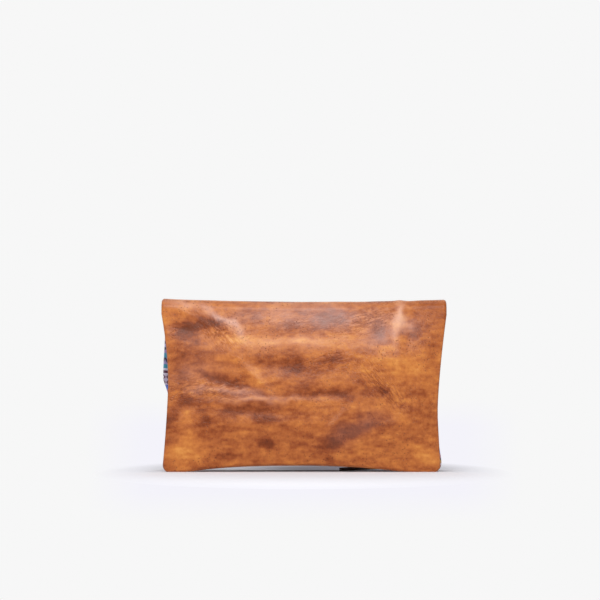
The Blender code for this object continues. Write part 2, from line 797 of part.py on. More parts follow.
def stand_on_origin():
    """Move the finished model so that the middle of its underside is the origin."""
    bpy.context.view_layer.update()
    graph = bpy.context.evaluated_depsgraph_get()
    points = []
    for item in bpy.data.objects:
        if item.type == "EMPTY" or item.hide_render:
            continue
        shape = item.evaluated_get(graph)
        mesh = shape.to_mesh()
        points += [item.matrix_world @ vert.co for vert in mesh.vertices]
        shape.to_mesh_clear()
    low = Vector([min(point[axis] for point in points) for axis in range(3)])
    high = Vector([max(point[axis] for point in points) for axis in range(3)])
    move = Vector(((low.x + high.x) / 2, (low.y + high.y) / 2, low.z))
    for item in bpy.data.objects:
        item.location -= move


def build():
    for item in list(bpy.data.objects):
        bpy.data.objects.remove(item, do_unlink=True)
    tan = material("pull_up_leather", (0.440, 0.180, 0.055), 0.42)
    woven = material("woven_textile", (0.180, 0.080, 0.160), 0.85)
    cloth = material("lining_cotton", (0.520, 0.450, 0.350), 0.90)
    tape_cloth = material("zip_tape", (0.060, 0.030, 0.018), 0.85)
    brass = material("antique_brass", (0.420, 0.290, 0.130), 0.38, 1.0)
    brown = material("dark_brown_leather", (0.042, 0.016, 0.008), 0.55)
    top = body_rows() + [plain_row(s) for s in fold_places()]
    flap = flap_places()
    panel("back_panel", top + [plain_row(s) for s in flap[:2]], 1, LEATHER, tan)
    woven_rows = [plain_row(TEXTILE_START + GAP)] + [plain_row(s) for s in flap[2:]] + mouth_rows()
    panel("flap_textile", woven_rows, 1, TEXTILE, woven)
    panel("front_panel", top + [plain_row(s) for s in flap[:2]], -1, LEATHER, tan)
    panel("flap_textile_inner", woven_rows, -1, TEXTILE, woven)
    lining_bag(cloth)
    tape("zip_tape_outer", 1, tape_cloth)
    tape("zip_tape_inner", -1, tape_cloth)
    tooth_row("zip_teeth_outer", 1, brass)
    tooth_row("zip_teeth_inner", -1, brass)
    stops(brass)
    slider(brass)
    pull_link(brass)
    pull_strap(brown)
    strap_rivet(brass)
    stand_on_origin()


build()
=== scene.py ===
"""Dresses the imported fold-over clutch: mottled tan leather, woven flap and metal zip.

Metres, +Z up, leather back towards -Y. Laid out as an add-on and run as a script.
"""
import json
import math

import bmesh
import bpy
from bpy.props import FloatProperty, PointerProperty
from mathutils import Matrix, Vector, noise


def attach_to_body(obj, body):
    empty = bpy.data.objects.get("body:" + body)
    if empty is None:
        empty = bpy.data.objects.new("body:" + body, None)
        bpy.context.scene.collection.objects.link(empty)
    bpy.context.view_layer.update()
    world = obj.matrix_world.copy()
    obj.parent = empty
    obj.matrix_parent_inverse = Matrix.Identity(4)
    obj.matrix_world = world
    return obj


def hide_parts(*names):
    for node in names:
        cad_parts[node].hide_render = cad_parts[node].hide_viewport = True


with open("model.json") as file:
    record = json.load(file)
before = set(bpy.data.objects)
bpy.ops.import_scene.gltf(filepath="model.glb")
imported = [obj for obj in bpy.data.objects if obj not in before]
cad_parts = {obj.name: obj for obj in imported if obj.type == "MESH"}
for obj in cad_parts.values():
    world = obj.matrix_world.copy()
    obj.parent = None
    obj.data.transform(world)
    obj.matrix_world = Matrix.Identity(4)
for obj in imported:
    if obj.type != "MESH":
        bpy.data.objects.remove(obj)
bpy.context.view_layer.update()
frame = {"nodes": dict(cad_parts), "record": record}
CAD_BACK = frame["nodes"]["back_panel"]

bl_info = {
    "name": "Fold-over clutch",
    "version": (1, 0, 0),
    "blender": (4, 5, 0),
    "location": "View3D > Sidebar > Clutch",
    "description": "Models and finishes a folded leather clutch round its packed frame",
    "category": "Object",
}

# Side view of the folded pouch. Its top lies this far below the nominal height, because of the
# sag, the tilt and the thin edges
FOLD_DROP = 0.00101
BODY_LEAN = math.radians(5.5)
FLAP_LEAN = math.radians(6.5)
FOLD_RADIUS = 0.0065
FOLD_SAG = 0.0036
FOLD_TILT = 0.0008
FOLD_HALF = 0.0040
BODY_HALF = 0.0120
FLAP_HALF = 0.0062
MOUTH_HALF = 0.0072
EDGE_ROLL = 0.0030
MOUTH_HEIGHT = 0.0105
FLOOR_PRESS = 0.0010
EAR_PRESS = 0.0006
FOLD_TOP = max((CAD_BACK.matrix_world @ vert.co).z for vert in CAD_BACK.data.vertices)
NOMINAL_HEIGHT = FOLD_TOP + FOLD_DROP

# Outline across
FOLD_WIDTH = 0.142
ARCH_RISE = 0.0070
ARCH_FADE = 0.060
ARCH_IN = (0.021, 0.036)
ARCH_POWER = (2.8, 2.0)
CORNER_RADIUS = 0.0085
EAR_START = FOLD_WIDTH - 0.024
EAR_FULL = FOLD_WIDTH - 0.016
SHOULDER = EAR_FULL + 0.002
BODY_WAIST_IN = (0.0073, 0.0095)
BODY_BASE_IN = (0.0018, 0.0068)
FLAP_WAIST_IN = (0.0055, 0.0090)
FLAP_BASE_IN = (0.0040, 0.0030)
FLAP_BULGE = 0.0053
FLAP_BULGE_ABOVE = 0.050
FLAP_BULGE_BELOW = 0.012
FLAP_BULGE_SHARE = 0.543
FOOT_REACH = (0.58, 0.34)
FOOT_POWER = (1.6, 1.2)
HEAD_START = (0.50, 0.38)
HEAD_SPAN = (0.46, 0.58)
HEAD_POWER = (2.0, 1.4)
FLAP_FOOT_START = 0.75
FLAP_HEAD_REACH = 0.35
BELLY_FOOT = 0.30
BELLY_HEAD = 0.32
FLAP_FILL_RUN = 0.045
MOUTH_SET = 0.045
MOUTH_SET_RUN = 0.030
MOUTH_SIDE = 0.08
LEATHER_PAST_FOLD = 0.032
SEAM_GAP = 0.0003
MOUTH_RUN = 0.034

# Soft waves: share of the edge roll that stays even, shares of the waves past the fold and in
# the cloth, and where the waves calm down, before the fold's start and over which run
EVEN_EDGE = 0.4
FOLD_RELIEF = 0.6
CLOTH_RELIEF = 0.6
CALM_BEFORE = 0.008
CALM_RUN = 0.014

# Slider, as in the solids
TOOTH_REACH = 0.0009
SLIDER_GAP = 0.0003
PLATE_THICK = 0.0012
WINDOW_HEIGHT = 0.0021
BAR_DEPTH = TOOTH_REACH + SLIDER_GAP + PLATE_THICK + WINDOW_HEIGHT / 2

# Doubled leather pull and its two lines of stitches on each face
STRAP_LENGTH = 0.065
STRAP_PITCH = math.radians(1.6)
STRAP_FACE = 0.00145
PULL_SEAM_START = 0.0135
PULL_SEAM_SHORT = 0.019
PULL_SEAM_SIDE = 0.0026
PULL_STITCH_LIFT = 0.00005

# Seams of the flap: distance from the join and the mouth, half lengths, share of the pitch
# that a stitch fills, share of the thread that stands out, and the step that gives a direction
JOIN_SEAM = 0.0025
MOUTH_SEAM = 0.0030
JOIN_REACH = 0.136
MOUTH_REACH = 0.114
STITCH_SHARE = 0.72
PULL_STITCH_SHARE = 0.7
STITCH_LIFT = 0.15
STITCH_STEP = 0.0005

# Rounding of the tapes' and the pull's edges, and turns of the meshes' sharp edges
TAPE_EDGE = 0.0002
PULL_EDGE = 0.00022
SHEET_SHARP = math.radians(50.0)
EDGE_SHARP = math.radians(35.0)
BEVEL_FROM = math.radians(30.0)

# Grid steps and edge rows of the panels
BACK_ROLLS = 8
FRONT_STEP = 0.003
FRONT_FOLD_STEP = 0.0012
FRONT_ROLLS = 5
CLOTH_STEP = 0.002
CLOTH_ROLLS = 6

# Lengths along the folded path
FOLD_CENTRE = NOMINAL_HEIGHT - FOLD_RADIUS - FOLD_HALF
BODY_RUN = (FOLD_CENTRE + FOLD_RADIUS * math.sin(BODY_LEAN) + FLOOR_PRESS) / math.cos(BODY_LEAN)
FOLD_RUN = FOLD_RADIUS * (math.pi - BODY_LEAN - FLAP_LEAN)
FLAP_RUN = (FOLD_CENTRE + FOLD_RADIUS * math.sin(FLAP_LEAN) - MOUTH_HEIGHT) / math.cos(FLAP_LEAN)
FLAP_START = BODY_RUN + FOLD_RUN
MOUTH = FLAP_START + FLAP_RUN
EAR_DROP = (MOUTH_HEIGHT + EAR_PRESS) / math.cos(FLAP_LEAN)
TEXTILE_START = FLAP_START + LEATHER_PAST_FOLD
FLAP_BULGE_HEIGHT = NOMINAL_HEIGHT * FLAP_BULGE_SHARE
JOINTS = {joint["name"]: joint for joint in frame["record"]["behaviour"]["joints"]}

# Photograph: one pixel is a millimetre, and this pixel is the middle of the clutch's foot
PHOTO_FOOT = (304.0, 471.0)
PHOTO_CENTRE = 300.0
PIXEL = 0.001


def smooth(value):
    value = min(max(value, 0.0), 1.0)
    return value * value * (3.0 - 2.0 * value)


def mix(first, second, share):
    return first + (second - first) * share


def quarter(value):
    value = min(max(value, 0.0), 1.0)
    return math.sqrt(1.0 - (1.0 - value) ** 2)


def path(s):
    """Place (y, z) and outward normal of the pouch's middle surface at length s."""
    if s < BODY_RUN:
        turn = math.pi - BODY_LEAN
        slide = BODY_RUN - s
        along = (-math.sin(BODY_LEAN), -math.cos(BODY_LEAN))
    elif s < FLAP_START:
        turn = math.pi - BODY_LEAN - (s - BODY_RUN) / FOLD_RADIUS
        slide = 0.0
        along = (0.0, 0.0)
    else:
        turn = FLAP_LEAN
        slide = s - FLAP_START
        along = (math.sin(FLAP_LEAN), -math.cos(FLAP_LEAN))
    normal = (math.cos(turn), math.sin(turn))
    y = FOLD_RADIUS * normal[0] + along[0] * slide
    z = FOLD_CENTRE + FOLD_RADIUS * normal[1] + along[1] * slide
    return y, z, normal


Y_SHIFT = JOINTS["link_swing"]["pos_m"][1] - path(MOUTH + BAR_DEPTH)[0]


def bend(x, s, h):
    """World place of a flat pouch point."""
    y, z, normal = path(s)
    y += normal[0] * h
    z += normal[1] * h
    high = max(0.0, (z - NOMINAL_HEIGHT / 4) / (NOMINAL_HEIGHT * 3 / 4))
    across = x / FOLD_WIDTH
    z -= high * (FOLD_SAG * max(0.0, 1.0 - across ** 2) + FOLD_TILT * (1.0 + across) / 2)
    return Vector((x, y + Y_SHIFT, max(z, 0.0)))


def half_width(s, side):
    """Distance from the middle to the side seam at length s, corners left square."""
    if s < BODY_RUN:
        rise = s / BODY_RUN
        waist = BODY_WAIST_IN[side]
        foot = max(0.0, 1.0 - rise / FOOT_REACH[side]) ** FOOT_POWER[side]
        head = min(1.0, max(0.0, (rise - HEAD_START[side]) / HEAD_SPAN[side])) ** HEAD_POWER[side]
        return FOLD_WIDTH - waist + (waist - BODY_BASE_IN[side]) * foot + waist * head
    if s < FLAP_START:
        return FOLD_WIDTH
    fall = (s - FLAP_START) / FLAP_RUN
    waist = FLAP_WAIST_IN[side]
    foot = max(0.0, (fall - FLAP_FOOT_START) / (1.0 - FLAP_FOOT_START))
    head = max(0.0, 1.0 - fall / FLAP_HEAD_REACH) ** 2
    width = FOLD_WIDTH - waist + (waist - FLAP_BASE_IN[side]) * foot + waist * head
    if side == 0:
        above = path(s)[1] - FLAP_BULGE_HEIGHT
        reach = FLAP_BULGE_ABOVE if above > 0 else FLAP_BULGE_BELOW
        width += FLAP_BULGE * math.exp(-(above / reach) ** 2) * (1.0 - head)
    return width


def corner_cut(distance):
    inside = max(0.0, CORNER_RADIUS - distance)
    return CORNER_RADIUS - math.sqrt(CORNER_RADIUS ** 2 - inside ** 2)


def half_height(s, x):
    """Half thickness of the stuffed pouch away from its seams."""
    side = 0 if x < 0 else 1
    share = min(1.0, abs(x) / (half_width(s, side) - EDGE_ROLL))
    pillow = 1.0 - share ** 3
    if s < BODY_RUN:
        rise = s / BODY_RUN
        belly = smooth(rise / BELLY_FOOT) * smooth((1.0 - rise) / BELLY_HEAD)
        middle = FOLD_HALF + (BODY_HALF - FOLD_HALF) * belly
    elif s < FLAP_START:
        middle = FOLD_HALF
    else:
        middle = mix(FOLD_HALF, FLAP_HALF, smooth((s - FLAP_START) / FLAP_FILL_RUN))
    height = EDGE_ROLL + (middle - EDGE_ROLL) * pillow
    plateau = EDGE_ROLL + (MOUTH_HALF - EDGE_ROLL) * smooth((1.0 - share) / MOUTH_SIDE)
    return mix(height, plateau, smooth((s - (MOUTH - MOUTH_SET)) / MOUTH_SET_RUN))


def arch(x):
    side = 0 if x < 0 else 1
    share = abs(x) / (FOLD_WIDTH - ARCH_IN[side])
    return ARCH_RISE * max(0.0, 1.0 - share ** ARCH_POWER[side])


def ear(x):
    return smooth((abs(x) - EAR_START) / (EAR_FULL - EAR_START))


def edge_steps(count):
    """Distances inwards over an edge roll, close together at the seam."""
    return [EDGE_ROLL * (1.0 - math.cos(math.pi / 2 * index / count)) for index in range(count)]


def spread(first, last, step):
    """Evenly spaced values from first to last, no further apart than step."""
    count = max(1, math.ceil(abs(last - first) / step))
    return [mix(first, last, index / count) for index in range(count + 1)]


def column_list(step, rolls):
    """Columns across a panel: side, place, and distance in from the seam where it has one."""
    edge = edge_steps(rolls) + [EDGE_ROLL]
    left = [(0, None, inwards) for inwards in edge]
    right = [(1, None, inwards) for inwards in reversed(edge)]
    shoulders = spread(EAR_START, SHOULDER, step)
    middle = [-place for place in reversed(shoulders)] + spread(-EAR_START, EAR_START, step)[1:-1]
    middle += shoulders
    return left + [(0 if place < 0 else 1, place, EDGE_ROLL) for place in middle] + right


def flat_point(column, body=None, mouth=None, s=None):
    """Flat place of a column on a row: body is its distance from the bottom seam, mouth its
    distance from the flap's edge, and s its length where it is neither."""
    side, place, inwards = column
    sign = (-1, 1)[side]
    nominal = place if place is not None else sign * FOLD_WIDTH
    end_roll = 1.0
    cut = 0.0
    if body is not None:
        s = body + arch(nominal) * max(0.0, 1.0 - body / ARCH_FADE)
        cut = corner_cut(body)
        end_roll = quarter(body / EDGE_ROLL)
    elif mouth is not None:
        lowest = MOUTH + SEAM_GAP * 2 + EAR_DROP * ear(nominal)
        s = mix(lowest, MOUTH - MOUTH_RUN, mouth / MOUTH_RUN)
        cut = corner_cut(mouth + EAR_DROP * (1.0 - ear(nominal)))
        end_roll = mix(1.0, quarter(mouth / EDGE_ROLL), ear(nominal))
    full = half_width(s, side)
    reach = full - cut
    if place is None:
        x = sign * (reach - inwards)
    elif abs(place) > EAR_START:
        x = sign * mix(EAR_START, reach, (abs(place) - EAR_START) / (full - EAR_START))
    else:
        x = place
    height = half_height(s, nominal if place is not None else x)
    return x, s, SEAM_GAP / 2 + height * quarter(inwards / EDGE_ROLL) * end_roll


# Broad soft forms of the leather back, in photograph pixels: middle, half sizes, turn in
# degrees anticlockwise, and height in millimetres
FORMS = (
    (399, 317, 4, 22, -3, 1.7), (409, 321, 6, 24, -3, -1.5), (386, 321, 20, 4, 60, 0.9),
    (196, 317, 34, 4, -27, 1.6), (186, 331, 24, 7, -20, -1.3), (222, 325, 24, 6, -35, -0.7),
    (288, 342, 66, 8, 0, 1.1), (292, 367, 58, 9, -2, -1.2), (330, 394, 30, 6, 4, -0.6),
    (226, 392, 30, 3, -8, 1.0), (222, 381, 26, 6, -12, -1.1), (253, 375, 24, 5, -47, 1.1),
    (378, 380, 28, 5, -50, 1.1), (388, 390, 24, 5, -50, -0.8), (252, 401, 54, 3, 0, 0.9),
    (256, 411, 40, 6, -3, -0.8), (353, 431, 34, 9, 27, -1.2), (330, 428, 24, 4, 48, 0.9),
    (392, 444, 30, 5, 25, 0.6), (265, 444, 16, 6, -28, -0.5), (186, 402, 18, 10, 0, -0.6),
    (182, 448, 18, 14, 0, 0.8), (395, 360, 22, 14, 0, 0.8), (424, 372, 10, 34, 0, 0.6),
    (322, 318, 34, 7, 8, -0.6), (300, 457, 80, 5, 0, 0.5),
)

# Patches of tone in the same pixels: middle, half sizes, turn, and change of tone. Most are the
# leather's own patina; the light patches along the top roll and on the tall ridge are painted
# highlights, and the dark patch just right of that ridge is painted shade
PATINA_AND_PAINTED_LIGHT = (
    (204, 325, 16, 5.5, 10, -0.40), (191, 333, 11, 9, 20, -0.40), (179, 358, 11, 15, 0, -0.16),
    (213, 362, 19, 4, -17, -0.22), (226, 380, 19, 6.5, -12, -0.50), (216, 376, 8, 4.6, 0, -0.16),
    (255, 392, 14, 2.7, -28, -0.24), (259, 362, 16, 5.7, 0, -0.30), (295, 367, 27, 10.5, -4, -0.34),
    (301, 371, 13, 5.4, 10, -0.14), (332, 361, 12, 7.7, 20, -0.30), (328, 393, 26, 5.7, 3, -0.38),
    (303, 389, 13, 3.8, 8, -0.18), (385, 392, 13, 4.6, -52, -0.26), (332, 318, 24, 8, 6, -0.34),
    (287, 324, 17, 7, 8, -0.24), (381, 333, 13, 11.5, 30, -0.28), (249, 317, 15, 4.6, -12, -0.12),
    # The dark patch at 411, 334 is painted shade beside the tall ridge
    (422, 319, 15, 11, 20, -0.18), (411, 334, 6, 9, 10, -0.22), (433, 348, 8, 11.5, 0, -0.14),
    (188, 401, 12, 8.4, 0, -0.52), (203, 418, 7, 13, -8, -0.34), (172, 420, 8, 15, 0, -0.30),
    (257, 411, 36, 8, -4, -0.23), (240, 410, 15, 6.5, 0, -0.14), (276, 418, 18, 5.4, -6, -0.08),
    (265, 444, 13, 6.5, -28, -0.36), (351, 430, 31, 13, 27, -0.40), (365, 422, 16, 5.7, 10, -0.20),
    (325, 446, 15, 9, 25, -0.20), (301, 438, 23, 17, 0, -0.12), (420, 407, 13, 29, 0, -0.07),
    (404, 438, 17, 7.7, 25, -0.10), (230, 453, 25, 5, 0, -0.14), (223, 436, 21, 11.5, -10, -0.12),
    (288, 342, 59, 6.5, 0, 0.32), (240, 348, 15, 7.7, -20, 0.12), (253, 375, 21, 5, -47, 0.18),
    (395, 362, 22, 12, -8, 0.27), (387, 349, 23, 4.2, 14, 0.16), (187, 412, 7, 8.4, 0, 0.26),
    (182, 450, 18, 10.5, 0, 0.25), (257, 401, 40, 2.5, -1, 0.26), (323, 403, 13, 6.5, 20, 0.18),
    (323, 431, 17, 4.2, 48, 0.20), (366, 406, 23, 7, -8, 0.14), (427, 457, 15, 9.6, 0, 0.26),
    (397, 451, 29, 7.7, 0, 0.10), (373, 375, 23, 6.5, -48, 0.22), (236, 331, 15, 9.6, -15, 0.20),
    # Those at 272, 306 and 184, 306 are painted highlights along the top roll, and 398, 319 is a painted
    # highlight on the tall ridge
    (168, 333, 5, 32, 0, 0.14), (276, 379, 11, 5.7, -30, 0.16), (272, 306, 57, 2.7, 0, 0.14),
    (184, 306, 21, 3.8, -14, 0.10), (398, 319, 4.5, 20, -3, 0.30),
)

# Painted sheen: a pale veil painted into the colour where the soft light above is reflected. Middle, half
# sizes, turn and strength
PAINTED_SHEEN = (
    (292, 316, 62, 13, 0, 0.15), (336, 318, 25, 11, 4, 0.15), (380, 331, 17, 13, 20, 0.22),
    (398, 320, 5, 20, -3, 0.34), (222, 322, 26, 5, -33, 0.34), (184, 304, 20, 4, -12, 0.18),
    (302, 341, 58, 6, 0, 0.12), (226, 392, 32, 4, -4, 0.18), (262, 401, 40, 3, 0, 0.12),
    (196, 372, 22, 10, 10, 0.08), (300, 304, 110, 4, 0, 0.04), (357, 426, 26, 12, 27, 0.06),
)

# Fans of fine wrinkles: middle, half sizes and turn
WRINKLES_FALLING = (
    (374, 378, 28, 13, -48, 1.0), (224, 330, 26, 14, -30, 1.0), (396, 400, 16, 10, -48, 0.8),
)
WRINKLES_RISING = (
    (214, 392, 30, 9, -5, 1.0), (184, 386, 16, 14, 0, 0.6), (366, 322, 34, 14, 20, 0.8),
    (300, 326, 60, 12, 0, 0.4), (326, 364, 26, 10, 10, 0.6),
)

# Hardness of the rims of patches, painted sheen and fans
PATCH_EDGE = 1.1
SHEEN_EDGE = 1.0
FAN_EDGE = 1.2

# Random waves of the leather back: height in millimetres, waves in a metre and offset
WAVES = ((0.55, 24.0, (0, 0, 0)), (0.22, 64.8, (7.1, 3.3, 1.7)))

# Drift of the patina and the painted sheen in pixels: span of the noise, and reach across and up
BROAD_DRIFT = (24.0, 9.0, 5.0)
FINE_DRIFT = (8.0, 4.0, 3.0)

# Clouds in the patina: amount, clouds in a metre, offset, and stretch of depth and height.
# The first one is stronger, by the share below, where the photo shows nothing
CLOUDS = (
    (0.13, 26.0, (0, 0, 0), (3.0, 1.0)),
    (0.20, 62.0, (5, 5, 5), (2.0, 2.4)),
    (0.17, 140.0, (2, 8, 1), (2.0, 2.4)),
    (0.10, 300.0, (0, 0, 0), (3.0, 1.0)),
)
HIDDEN_CLOUDS = 1.4

# Middle tone, the dark tone below which only a share of a change counts, and the unevenness
# of the painted sheen with its clouds in a metre
TONE_MIDDLE = 0.57
TONE_DARK = 0.25
DARK_SHARE = 0.5
SHEEN_UNEVEN = 0.5
SHEEN_CLOUD = 90.0

# How far behind the fold's middle the photo's forms end, and the depth over which they fade
FACING_PAST = 0.002
FACING_RUN = 0.008


def photo_place(point):
    """Photograph pixel that a point of the leather back falls on."""
    return PHOTO_FOOT[0] + point.x / PIXEL, PHOTO_FOOT[1] - point.z / PIXEL


def mound(px, py, form, edge):
    """Amount of a form at a pixel, which fades out over its ellipse. edge hardens its rim."""
    cx, cy, wide, high, turn, amount = form
    turn = math.radians(turn)
    right = px - cx
    up = cy - py
    along = (right * math.cos(turn) + up * math.sin(turn)) / wide
    across = (-right * math.sin(turn) + up * math.cos(turn)) / high
    return amount * math.exp(-(along * along + across * across) * edge)


def relief(point, depth):
    """Soft waves of the leather back, in metres off its even shape."""
    px, py = photo_place(point)
    lift = sum(mound(px, py, form, 1.0) for form in FORMS)
    place = Vector((point.x, point.z, point.y))
    for height, scale, offset in WAVES:
        lift += height * noise.noise(place * scale + Vector(offset))
    return lift / 1000.0 * depth


def warp(point):
    """Pixel of a point, drifted as the wax in the leather drifts."""
    px, py = photo_place(point)
    broad = Vector((px, py, 0.0)) / BROAD_DRIFT[0]
    fine = Vector((px, py, 9.0)) / FINE_DRIFT[0]
    px += BROAD_DRIFT[1] * noise.noise(broad) + FINE_DRIFT[1] * noise.noise(fine)
    py += BROAD_DRIFT[2] * noise.noise(broad + Vector((31.0, 0, 0)))
    py += FINE_DRIFT[2] * noise.noise(fine + Vector((0, 17.0, 0)))
    return px, py


def patina_and_painted_light(point, facing):
    """Tone of the leather with its patina and a few painted highlights and shade, 0 darkest and 1 lightest.
    facing is 1 on the back seen in front.
    """
    px, py = warp(point)
    # The patches add the patina and a few painted highlights and painted shade
    tone = TONE_MIDDLE + facing * sum(mound(px, py, patch, PATCH_EDGE) for patch in PATINA_AND_PAINTED_LIGHT)
    more = 1.0 + HIDDEN_CLOUDS * (1.0 - facing)
    for amount, scale, offset, (deep, high) in CLOUDS:
        place = Vector((point.x, point.y * deep, point.z * high)) * scale
        tone += amount * more * noise.noise(place + Vector(offset))
        more = 1.0
    return tone if tone > TONE_DARK else TONE_DARK - (TONE_DARK - tone) * DARK_SHARE


def linear(hex_colour):
    """Linear colour of an sRGB hex string."""
    channels = [int(hex_colour[index:index + 2], 16) / 255.0 for index in (0, 2, 4)]
    return tuple(c / 12.92 if c <= 0.04045 else ((c + 0.055) / 1.055) ** 2.4 for c in channels) + (1.0,)


def add_node(tree, kind, sockets=None, **settings):
    """Add a node with its settings; a socket is given a value or the output it links from."""
    made = tree.nodes.new(kind)
    for name, value in settings.items():
        setattr(made, name, value)
    for key, value in (sockets or {}).items():
        if isinstance(value, bpy.types.NodeSocket):
            tree.links.new(value, made.inputs[key])
        else:
            made.inputs[key].default_value = value
    return made


def new_material(name, **values):
    """Material, its tree and its object coordinates. values are the Principled shader's."""
    made = bpy.data.materials.new(name)
    made.use_nodes = True
    tree = made.node_tree
    shader = tree.nodes["Principled BSDF"]
    for key, value in values.items():
        shader.inputs[key.replace("_", " ")].default_value = value
    return made, tree, add_node(tree, "ShaderNodeTexCoord").outputs["Object"]


def attach(tree, **sources):
    """Link outputs to the Principled shader's sockets."""
    for name, source in sources.items():
        tree.links.new(source, tree.nodes["Principled BSDF"].inputs[name.replace("_", " ")])


def ramp(tree, source, stops, mode="LINEAR"):
    """Colour ramp from (position, hex colour) stops."""
    made = add_node(tree, "ShaderNodeValToRGB", {"Fac": source})
    made.color_ramp.interpolation = mode
    points = made.color_ramp.elements
    while len(points) < len(stops):
        points.new(0.5)
    for point, (position, colour) in zip(points, stops):
        point.position = position
        point.color = linear(colour)
    return made.outputs["Color"]


def math_node(tree, operation, first, second=0.0):
    return add_node(tree, "ShaderNodeMath", {0: first, 1: second}, operation=operation).outputs[0]


def times(tree, first, second):
    return math_node(tree, "MULTIPLY", first, second)


def plus(tree, first, second):
    return math_node(tree, "ADD", first, second)


def off_middle(tree, share):
    """Distance of a share from a half."""
    return math_node(tree, "ABSOLUTE", math_node(tree, "SUBTRACT", share, 0.5))


def rescale(tree, value, low, high, to_low, to_high, **settings):
    return add_node(tree, "ShaderNodeMapRange", {"Value": value, "From Min": low, "From Max": high,
                    "To Min": to_low, "To Max": to_high}, **settings).outputs["Result"]


def mix_colour(tree, share, first, second):
    return add_node(tree, "ShaderNodeMix", {"Factor": share, 6: first, 7: second},
                    data_type="RGBA").outputs[2]


def attribute(tree, name):
    return add_node(tree, "ShaderNodeAttribute", attribute_name=name).outputs["Fac"]


def clouds(tree, place, scale, **more):
    """Noise with so many waves in a metre."""
    return add_node(tree, "ShaderNodeTexNoise", {"Vector": place, "Scale": scale, **more}).outputs["Fac"]


def cells(tree, place, scale, feature="F1"):
    """Distances in a field of random cells with so many in a metre."""
    return add_node(tree, "ShaderNodeTexVoronoi", {"Vector": place, "Scale": scale},
                    feature=feature).outputs["Distance"]


def bump(tree, height, strength, distance):
    return add_node(tree, "ShaderNodeBump", {"Height": height, "Strength": strength,
                    "Distance": distance}).outputs["Normal"]


# Tan leather from its darkest to its lightest tone, its painted sheen and its pores
TAN = ((0.0, "5E2A10"), (0.20, "773615"), (0.38, "944B23"), (0.54, "AC602F"), (0.70, "BF7136"),
       (0.86, "CD823E"), (1.0, "DA944A"))
TAN_SHEEN = "F6D3CA"
TAN_PORE = "4E2417"

# Turns in degrees of the two fans' creases, their stretch, and how far they darken and sink
FALLING_TURN = -48.0
RISING_TURN = 14.0
CREASE_STRETCH = 0.24
CREASE_TONE = 0.17
CREASE_DEPTH = 2.0


def wrinkle_lines(tree, place, name, turn):
    """Fine creases that run one way, where the named attribute allows them."""
    turned = add_node(tree, "ShaderNodeMapping", {"Vector": place,
                      "Rotation": (0.0, math.radians(turn), 0.0)}).outputs["Vector"]
    drawn_out = add_node(tree, "ShaderNodeMapping", {"Vector": turned,
                         "Scale": (CREASE_STRETCH, 1.0, 1.0)}).outputs["Vector"]
    cloud = clouds(tree, drawn_out, 330.0, Detail=2.0, Roughness=0.55, Distortion=0.5)
    lines = rescale(tree, off_middle(tree, cloud), 0.0, 0.09, -1.0, 0.25)
    return times(tree, lines, attribute(tree, name))


def pull_up_leather(name, painted):
    """Vegetable-tanned, oiled and waxed cowhide: the wax parts where it bends, which gives
    clouds of light and dark, and a soft sheen over pores and fine creases. On the painted back a
    painted sheen and a few painted highlights and shade are mixed into the colour."""
    made, tree, place = new_material(name, Specular_IOR_Level=0.24)
    if painted:
        lines = plus(tree, wrinkle_lines(tree, place, "falling", FALLING_TURN),
                     wrinkle_lines(tree, place, "rising", RISING_TURN))
        tone = plus(tree, attribute(tree, "patina_and_painted_light"), times(tree, lines, CREASE_TONE))
    else:
        lines = clouds(tree, place, 38.0, Detail=4.0)
        tone = rescale(tree, lines, 0.25, 0.75, 0.25, 0.85)
    fibre = clouds(tree, place, 420.0, Detail=6.0, Roughness=0.65, Distortion=0.5)
    tone = plus(tree, tone, rescale(tree, fibre, 0.3, 0.7, -0.09, 0.09))
    colour = ramp(tree, tone, TAN)
    if painted:
        # Painted sheen: a pale veil mixed into the colour where the soft light above is reflected
        colour = mix_colour(tree, attribute(tree, "painted_sheen"), colour, linear(TAN_SHEEN))
    pore = rescale(tree, cells(tree, place, 380.0), 0.08, 0.30, 0.70, 0.0)
    pore = times(tree, pore, rescale(tree, clouds(tree, place, 46.0, Detail=3.0), 0.47, 0.60, 0.0, 1.0))
    colour = mix_colour(tree, pore, colour, linear(TAN_PORE))
    grain = cells(tree, place, 620.0, "DISTANCE_TO_EDGE")
    height = plus(tree, times(tree, grain, 0.5), fibre)
    height = plus(tree, height, times(tree, lines, CREASE_DEPTH))
    height = math_node(tree, "SUBTRACT", height, pore)
    attach(tree, Base_Color=colour, Normal=bump(tree, height, 0.5, 0.0005),
           Roughness=rescale(tree, fibre, 0.3, 0.7, 0.27, 0.38))
    return made


def dark_leather(name):
    """Dark brown dyed cowhide strap, matt with a fine grain."""
    made, tree, place = new_material(name, Roughness=0.55)
    colour = ramp(tree, clouds(tree, place, 260.0, Detail=5.0),
                  ((0.3, "2A120B"), (0.6, "43200F"), (0.8, "5B3018")))
    attach(tree, Base_Color=colour, Normal=bump(tree, cells(tree, place, 1100.0), 0.4, 0.0003))
    return made


def antique_brass(name):
    """Cast and tumbled brass, mottled in its tone and its roughness."""
    made, tree, place = new_material(name, Metallic=1.0)
    cloud = clouds(tree, place, 500.0, Detail=4.0)
    attach(tree, Base_Color=ramp(tree, cloud, ((0.30, "6E5228"), (0.55, "A88240"), (0.75, "C9A662"))),
           Roughness=rescale(tree, cloud, 0.3, 0.7, 0.42, 0.26))
    return made


def thread_wave(tree, along, pitch):
    """Sine wave over threads that lie a pitch apart."""
    return math_node(tree, "SINE", times(tree, along, math.tau / pitch))


